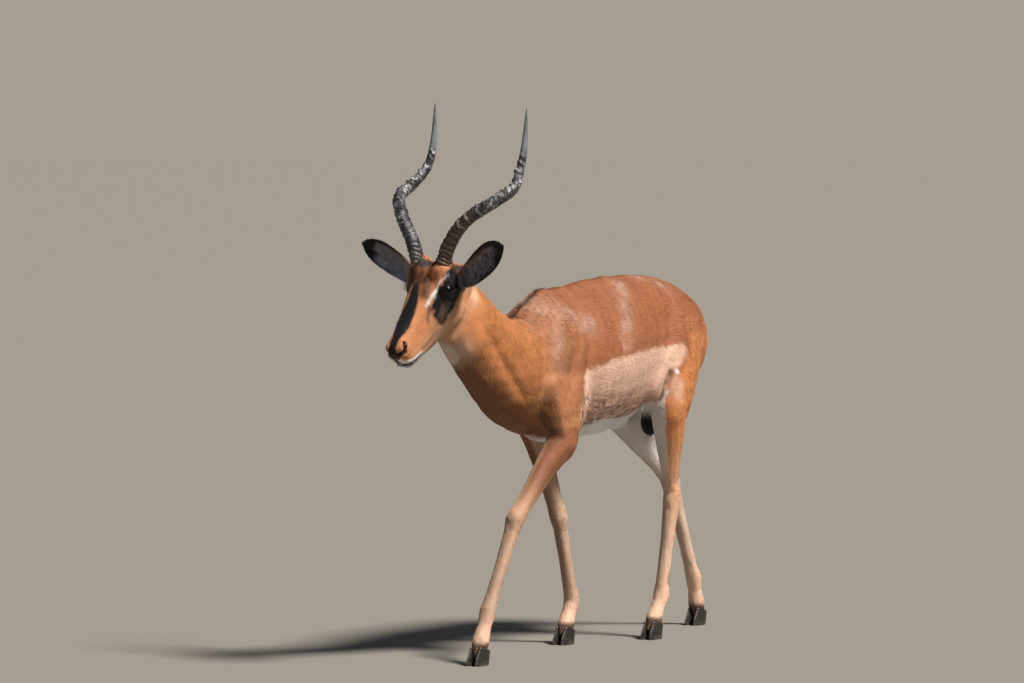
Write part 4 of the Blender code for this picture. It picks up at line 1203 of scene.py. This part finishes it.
def horn_finish():
    """Ringed horn: dark and dull in the furrows, worn pale and chalky on the ridges with painted glints,
    smooth at the tip.
    """
    material, tree, shader = principled("weathered horn", 0.42, 0.50)
    place = object_place(tree)
    share, ridge = attribute(tree, "share"), attribute(tree, "ridge")
    grain = attribute(tree, "grain", "Vector")
    fibre = add(tree, "ShaderNodeMapping", {"Vector": grain, "Scale": (1.0, 1.0, 0.12)}).outputs[0]
    lines = noise(tree, fibre, 0.0013, 4.0)
    blotch = noise(tree, place, 0.007, 5.0)
    patches = noise(tree, place, 0.030, 2.0)
    warm = mixed(tree, ramp(tree, blotch, 0.35, 0.65), linear("#2c231e"), linear("#5c4c3f"))
    edge = maths(tree, "MULTIPLY", ramp(tree, ridge, 0.25, 0.90, 0.0, 0.6),
                 ramp(tree, lines, 0.36, 0.62, 0.2, 1.0))
    warm = mixed(tree, edge, warm, linear("#a8937e"))
    cold = mixed(tree, ramp(tree, blotch, 0.35, 0.65), linear("#171416"), linear("#353034"))
    # pale on the ridges: real chalky wear, cut into small flecks that are painted glints
    wear_and_sheen = ramp(tree, ridge, 0.05, 0.80, 0.35, 1.0)
    for value, low, high, least in ((patches, 0.49, 0.60, 0.06), (blotch, 0.44, 0.60, 0.08),
                                    (share, 0.30, 0.55, 0.45)):
        wear_and_sheen = maths(tree, "MULTIPLY", wear_and_sheen, ramp(tree, value, low, high, least))
    cold = mixed(tree, wear_and_sheen, cold, linear("#dcdde4"))
    ringed = mixed(tree, attribute(tree, "cold"), warm, cold)
    tip = mixed(tree, ramp(tree, share, 0.82, 1.0), linear("#70777d"), linear("#303439"))
    tip = mixed(tree, ramp(tree, lines, 0.3, 0.7, 0.0, 0.40), tip, linear("#9aa1a8"))
    tree.links.new(mixed(tree, ramp(tree, share, 0.76, 0.83), ringed, tip), shader.inputs["Base Color"])
    roughen(tree, shader, maths(tree, "ADD", lines, blotch), 0.7, 0.0013)
    return material


def hoof_finish():
    """Black hoof horn with fine growth lines, scuffed towards the ground."""
    material, tree, shader = principled("hoof horn", 0.42, 0.45)
    place = object_place(tree)
    flat = add(tree, "ShaderNodeMapping", {"Vector": place, "Scale": (0.15, 0.15, 1.0)}).outputs[0]
    lines = noise(tree, flat, 0.0022, 2.0)
    dust = noise(tree, place, 0.009, 4.0)
    colour = mixed(tree, ramp(tree, lines, 0.35, 0.65), linear("#1b1918"), linear("#35302c"))
    height = add(tree, "ShaderNodeSeparateXYZ", {0: place}).outputs["Z"]
    low = maths(tree, "MULTIPLY", ramp(tree, height, 0.014, 0.0), ramp(tree, dust, 0.4, 0.65, 0.0, 0.55))
    tree.links.new(mixed(tree, low, colour, linear("#6d6257")), shader.inputs["Base Color"])
    roughen(tree, shader, lines, 0.35, 0.0006)
    return material


def plain_finish(name, colour, roughness, specular=0.5):
    material, _, shader = principled(name, roughness, specular)
    shader.inputs["Base Color"].default_value = (*linear(colour), 1.0)
    return material


def eye_finish():
    """A wet dark brown eye with a long level pupil."""
    material, tree, shader = principled("wet eye", 0.05, 0.25, Coat_Weight=0.3, Coat_Roughness=0.02,
                                        IOR=1.376)
    colour = mixed(tree, attribute(tree, "iris"), linear("#100c0b"), linear("#1a0e08"))
    colour = mixed(tree, attribute(tree, "pupil"), colour, linear("#060607"))
    tree.links.new(colour, shader.inputs["Base Color"])
    return material


# ---------------------------------------------------------------- horns, eyes, lashes, hooves
HORN_STEPS = 40                                     # points for each span of the horn's curve
HORN_COUNT, HORN_AROUND = 340, 48                   # rings of the mesh, and points in each
RINGED_SHARE = 0.78                                 # of a horn's length
COLD_FROM = {1: (0.22, 0.42), -1: (0.02, 0.14)}     # where along each horn warm brown turns to chalky grey
EYE_RINGS, EYE_AROUND = 49, 64
CLAW_RINGS, CLAW_AROUND = 30, 40
# length, width and shift back of a claw at its sole, at 0.35 and 0.75 of its height, and at its top
CLAW_FORM = [(0.056, 0.053, 0.043, 0.037), (0.0185, 0.0190, 0.0188, 0.0180), (-0.012, -0.009, -0.003, 0.001)]


def horn_mesh(hand):
    """A lyre-shaped horn: close uneven rings for most of its length, then smooth to the tip."""
    curve = smooth_rows([(-0.004, 0.024, -0.044)] + HORN_CURVE, HORN_STEPS)
    curve = curve * (1, HORN_REACH[hand][0] * hand, HORN_REACH[hand][1])
    lengths = np.concatenate([[0], np.cumsum(np.linalg.norm(np.diff(curve, axis=0), axis=1))])
    base, count, around = lengths[HORN_STEPS], HORN_COUNT, HORN_AROUND
    rng = np.random.default_rng(SEED + 5 + hand)
    gaps = rng.uniform(0.55, 1.5, HORN_RINGS) * np.linspace(0.62, 1.55, HORN_RINGS)
    marks = np.concatenate([[0.0], np.cumsum(gaps)])
    marks = marks / marks[-1] * RINGED_SHARE
    strength = rng.uniform(0.45, 1.30, HORN_RINGS + 1)
    heading_of = rng.uniform(0, 2 * math.pi, HORN_RINGS + 1)
    rings, share_at, ridge_at, grain_at = [], [], [], []
    angles = np.arange(around) * 2 * math.pi / around

    def at(length):
        here = np.array([np.interp(length, lengths, curve[:, k]) for k in range(3)])
        return BROW + HEADING * here[0] + HEAD_LEFT * here[1] + UP * here[2]

    for i in range(count):
        length = lengths[-1] * i / (count - 1)
        share = (length - base) / (lengths[-1] - base)
        grown = max(share, 0)
        along = unit(at(min(length + 0.003, lengths[-1])) - at(max(length - 0.003, 0)))
        side = unit(HEAD_LEFT - along * (HEAD_LEFT @ along))
        front = np.cross(along, side)
        front = front if front @ HEADING > 0 else -front
        taper = HORN_BASE_RADIUS * (1 - 0.30 * grown) * (1 - np.clip(share, 0, 1) ** 3.2) ** 0.8 + 0.0006
        fade = fall(0.74, 0.81, share) * ease(-0.08, -0.02, share)
        lean = share + 0.008 * np.sin(angles + 1.3) + 0.0045 * np.sin(3 * angles + 17 * share)
        lean = lean + 0.0022 * np.sin(5 * angles - 60 * share)
        spacing = 0.0075 + 0.0105 * grown
        offset = (lean[:, None] - marks[None, :]) / spacing
        uneven = 0.78 + (0.12 + 0.30 * grown) * np.cos(angles[:, None] - heading_of[None, :])
        crest = np.max(np.exp(-offset ** 2 * 3.2) * strength * uneven, axis=1)
        facing = 0.66 + 0.34 * np.cos(angles - math.pi / 2)
        knobs = 1 + 0.22 * np.sin(4 * angles + 55 * share) + 0.12 * np.sin(7 * angles - 31 * share)
        swell = 1 + fade * facing * knobs * ((0.19 + 0.13 * grown) * crest - 0.075)
        rings.append(at(length) + np.outer(np.cos(angles) * taper * 0.94 * swell, side)
                     + np.outer(np.sin(angles) * taper * 1.06 * swell, front))
        share_at += [share] * around
        ridge_at += list(crest * fade * (0.6 + 0.4 * facing))
        grain_at += [(math.cos(a) * taper, math.sin(a) * taper, length) for a in angles]
    mesh = loft("horn", rings)
    share_at, ridge_at, grain_at = [np.array(values + [values[0], values[-1]])
                                    for values in (share_at, ridge_at, grain_at)]
    give(mesh, "share", share_at)
    give(mesh, "ridge", ridge_at)
    give(mesh, "cold", ease(*COLD_FROM[hand], share_at))
    give(mesh, "grain", grain_at, "FLOAT_VECTOR")
    return mesh


def eye_mesh(hand):
    """An eyeball with a bulging clear front, a wide dark iris and a level pupil."""
    centre, gaze, along, across = eye_frame(hand)
    rings = []
    for i in range(EYE_RINGS):
        polar = math.pi * (i + 0.25) / (EYE_RINGS + 0.5)
        swell = 1 + 0.035 * math.exp(-(polar / 0.62) ** 4)
        ring = []
        for j in range(EYE_AROUND):
            turn = 2 * math.pi * j / EYE_AROUND
            outward = along * math.cos(turn) + across * math.sin(turn)
            direction = gaze * math.cos(polar) + outward * math.sin(polar)
            ring.append(centre + direction * (EYE_RADIUS - 0.0004) * swell)
        rings.append(ring)
    mesh = loft("eye", rings)
    d = unit(read(mesh) - centre)
    a, b, g = d @ along, d @ across, d @ gaze
    give(mesh, "iris", fall(0.60, 0.72, np.hypot(a, b) + (g < 0)))
    give(mesh, "pupil", fall(0.9, 1.1, np.hypot(a / 0.40, b / 0.20) + 9 * (g < 0)))
    return mesh


def lash_mesh(hand):
    """Stiff dark lashes along the upper lid, with a few short ones below."""
    centre, gaze, along, across = eye_frame(hand)
    rng = np.random.default_rng(SEED + hand)
    points, faces = [], []
    for upper, count, length in ((1, 46, 0.0125), (-1, 16, 0.0060)):
        for i in range(count):
            a = LID_HALF_LENGTH * (-0.88 + 1.76 * (i + rng.uniform(-0.3, 0.3)) / (count - 1))
            b = (LID_HALF_HEIGHT * (1 - (a / LID_HALF_LENGTH) ** 2) + 0.0012) * upper
            reach = math.sqrt(max((EYE_RADIUS + 0.0012) ** 2 - a * a - b * b, 1e-8))
            root = centre + along * a + across * b + gaze * reach
            fan = a / LID_HALF_LENGTH * 0.5 + rng.uniform(-0.12, 0.12)
            out = unit(gaze * 0.75 + across * 0.55 * upper + along * fan)
            bend = across * upper * 0.35 - UP * 0.10
            size = length * rng.uniform(0.75, 1.1)
            side = unit(np.cross(out, across))
            start = len(points)
            for share in (0.0, 0.5, 1.0):
                middle = root + out * size * share + bend * size * share ** 2
                thick = 0.00028 * (1 - 0.85 * share)
                for k in range(3):
                    turn = 2 * math.pi * k / 3
                    points.append(middle + side * math.cos(turn) * thick + across * math.sin(turn) * thick)
            for ring in (0, 3):
                for k in range(3):
                    n = (k + 1) % 3
                    low, high = start + ring, start + ring + 3
                    faces.append((low + k, low + n, high + n, high + k))
            faces.append((start, start + 2, start + 1))
            faces.append((start + 6, start + 7, start + 8))
    mesh = mesh_from("lashes", points, faces)
    turn_outward(mesh)
    return mesh


def claw_mesh(foot, hand):
    """One claw of a cloven hoof: rounded at its sole's edge, faintly ringed, swelling at the hair line."""
    rings = []
    for i in range(CLAW_RINGS):
        level = i / (CLAW_RINGS - 1)
        length, width, shift = [np.interp(level, [0, 0.35, 0.75, 1], values) for values in CLAW_FORM]
        bevel = 1 - 0.05 * fall(0.0, 0.10, level) + 0.05 * bell(level - 0.93, 0.05)
        bevel += 0.007 * math.sin(level * 2 * math.pi * 7)
        ring = []
        for j in range(CLAW_AROUND):
            angle = 2 * math.pi * j / CLAW_AROUND
            toe = math.cos(angle)
            out = math.sin(angle) * width / 2 * (1 - 0.34 * toe) * bevel
            out = out if out > 0 else out * 0.75
            height = HOOF_HEIGHT * level * (1 + 0.16 * toe)
            across = foot[0] + hand * (CLAW_SPREAD + out)
            ring.append((across, foot[1] + shift - length / 2 * bevel * toe, height))
        rings.append(ring)
    return loft("claw", rings)


# ---------------------------------------------------------------- build
def settle(made, slot, *nodes):
    """Fixes a piece to the only body and hides the solids that it stands for."""
    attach(made, "root")
    if nodes:
        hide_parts(*nodes)


def place(name, mesh, material, slot, *nodes):
    mesh.materials.append(material)
    settle(add_object(name, mesh), slot, *nodes)


def build_skin():
    """The skin with its forms, its flat map, its colours and the lie, length and region of its hair."""
    skin = flesh_union()
    soften(skin)
    eyes = [eye_frame(hand)[0] for _, hand in SIDES]
    refine_near(skin, [(eye, 0.030) for eye in eyes] + [(on_face(0.212, 0, -0.025), 0.042)])
    refine_near(skin, [(eye, 0.026) for eye in eyes])
    sink(skin)
    thin_out(skin)
    skin.data.shade_smooth()
    unwrap(skin)
    points, normals = read(skin.data), read(skin.data, "normal")
    give(skin.data, "coat", markings(points, normals), "FLOAT_COLOR")
    give(skin.data, "lie", lie_of_coat(points, normals), "FLOAT_VECTOR")
    give(skin.data, "hair_length", hair_length(points, normals))
    middles = np.zeros(len(skin.data.polygons) * 3, np.float32)
    skin.data.polygons.foreach_get("center", middles)
    region = skin.data.attributes.new("region", "INT", "FACE")
    region.data.foreach_set("value", region_of(middles.reshape(-1, 3).astype(float)))
    return skin


def lights():
    """One large soft key from the animal's left, over a dim cool surround."""
    sun = bpy.data.lights.new("key", "SUN")
    sun.angle, sun.energy, sun.color = math.radians(13), 6.2, linear("#fff9f2")
    made = add_object("key", sun)
    made.rotation_euler = Vector((0.55, -0.02, 0.835)).to_track_quat("Z", "Y").to_euler()
    world = bpy.data.worlds.new("studio")
    world.use_nodes = True
    surround = world.node_tree.nodes["Background"]
    surround.inputs["Color"].default_value = (*linear("#d3deee"), 1.0)
    surround.inputs["Strength"].default_value = 0.16
    bpy.context.scene.world = world


def floor():
    """A wide level floor that rises very gently far off, so that no horizon shows."""
    count, flat, far, rise = 48, 60, 900, 14.0
    turns = [2 * math.pi * i / count for i in range(count)]
    points = [(flat * math.cos(t), flat * math.sin(t), 0.0) for t in turns]
    points += [(far * math.cos(t), far * math.sin(t), rise) for t in turns]
    faces = [tuple(range(count))]
    faces += [(i, count + i, count + (i + 1) % count, (i + 1) % count) for i in range(count)]
    mesh = mesh_from("floor", points, faces)
    mesh.materials.append(plain_finish("pale studio floor", "#807c75", 0.85, 0.2))
    add_object("floor", mesh)


def camera():
    """A long lens, to the left of the animal's front and a little above its horns."""
    data = bpy.data.cameras.new("camera")
    data.sensor_width, data.lens, data.clip_end = 36.0, 247.5, 3000.0
    made = add_object("camera", data)
    made.location = (7.857, -13.828, 1.410)
    turn, pitch = math.radians(30), math.radians(2.582)
    forward = Vector((-math.sin(turn) * math.cos(pitch), math.cos(turn) * math.cos(pitch), -math.sin(pitch)))
    made.rotation_euler = forward.to_track_quat("-Z", "Y").to_euler()
    bpy.context.scene.camera = made


bpy.context.scene.view_settings.view_transform = "Standard"
skin_material, tuft_material = skin_finish(), tuft_finish()
skin_object = build_skin()
coats = grow_coat(skin_object, tuft_material)
skin_object.data.materials.append(skin_material)
flesh = [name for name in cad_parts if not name.startswith(("horn", "hoof", "eye"))]
settle(skin_object, "coat", *flesh)
for coat_object in coats:
    settle(coat_object, "coat")
horn_material, hoof_material, eye_material = horn_finish(), hoof_finish(), eye_finish()
lash_material = plain_finish("lashes", "#17130f", 0.5)
for side_name, side_hand in SIDES:
    place(f"horn_of_{side_name}", horn_mesh(side_hand), horn_material, "horn", f"horn_{side_name}")
    place(f"eyeball_{side_name}", eye_mesh(side_hand), eye_material, "eye", f"eye_{side_name}")
    place(f"lashes_{side_name}", lash_mesh(side_hand), lash_material, "coat")
for leg_name, leg_joints in LEG_JOINTS.items():
    foot_place = np.array(leg_joints[4]) + STAND
    for side_name, side_hand in SIDES:
        place(f"claw_{leg_name}_{side_name}", claw_mesh(foot_place, side_hand), hoof_material, "hoof",
              f"hoof_{leg_name}_{side_name}")
lights()
floor()
camera()
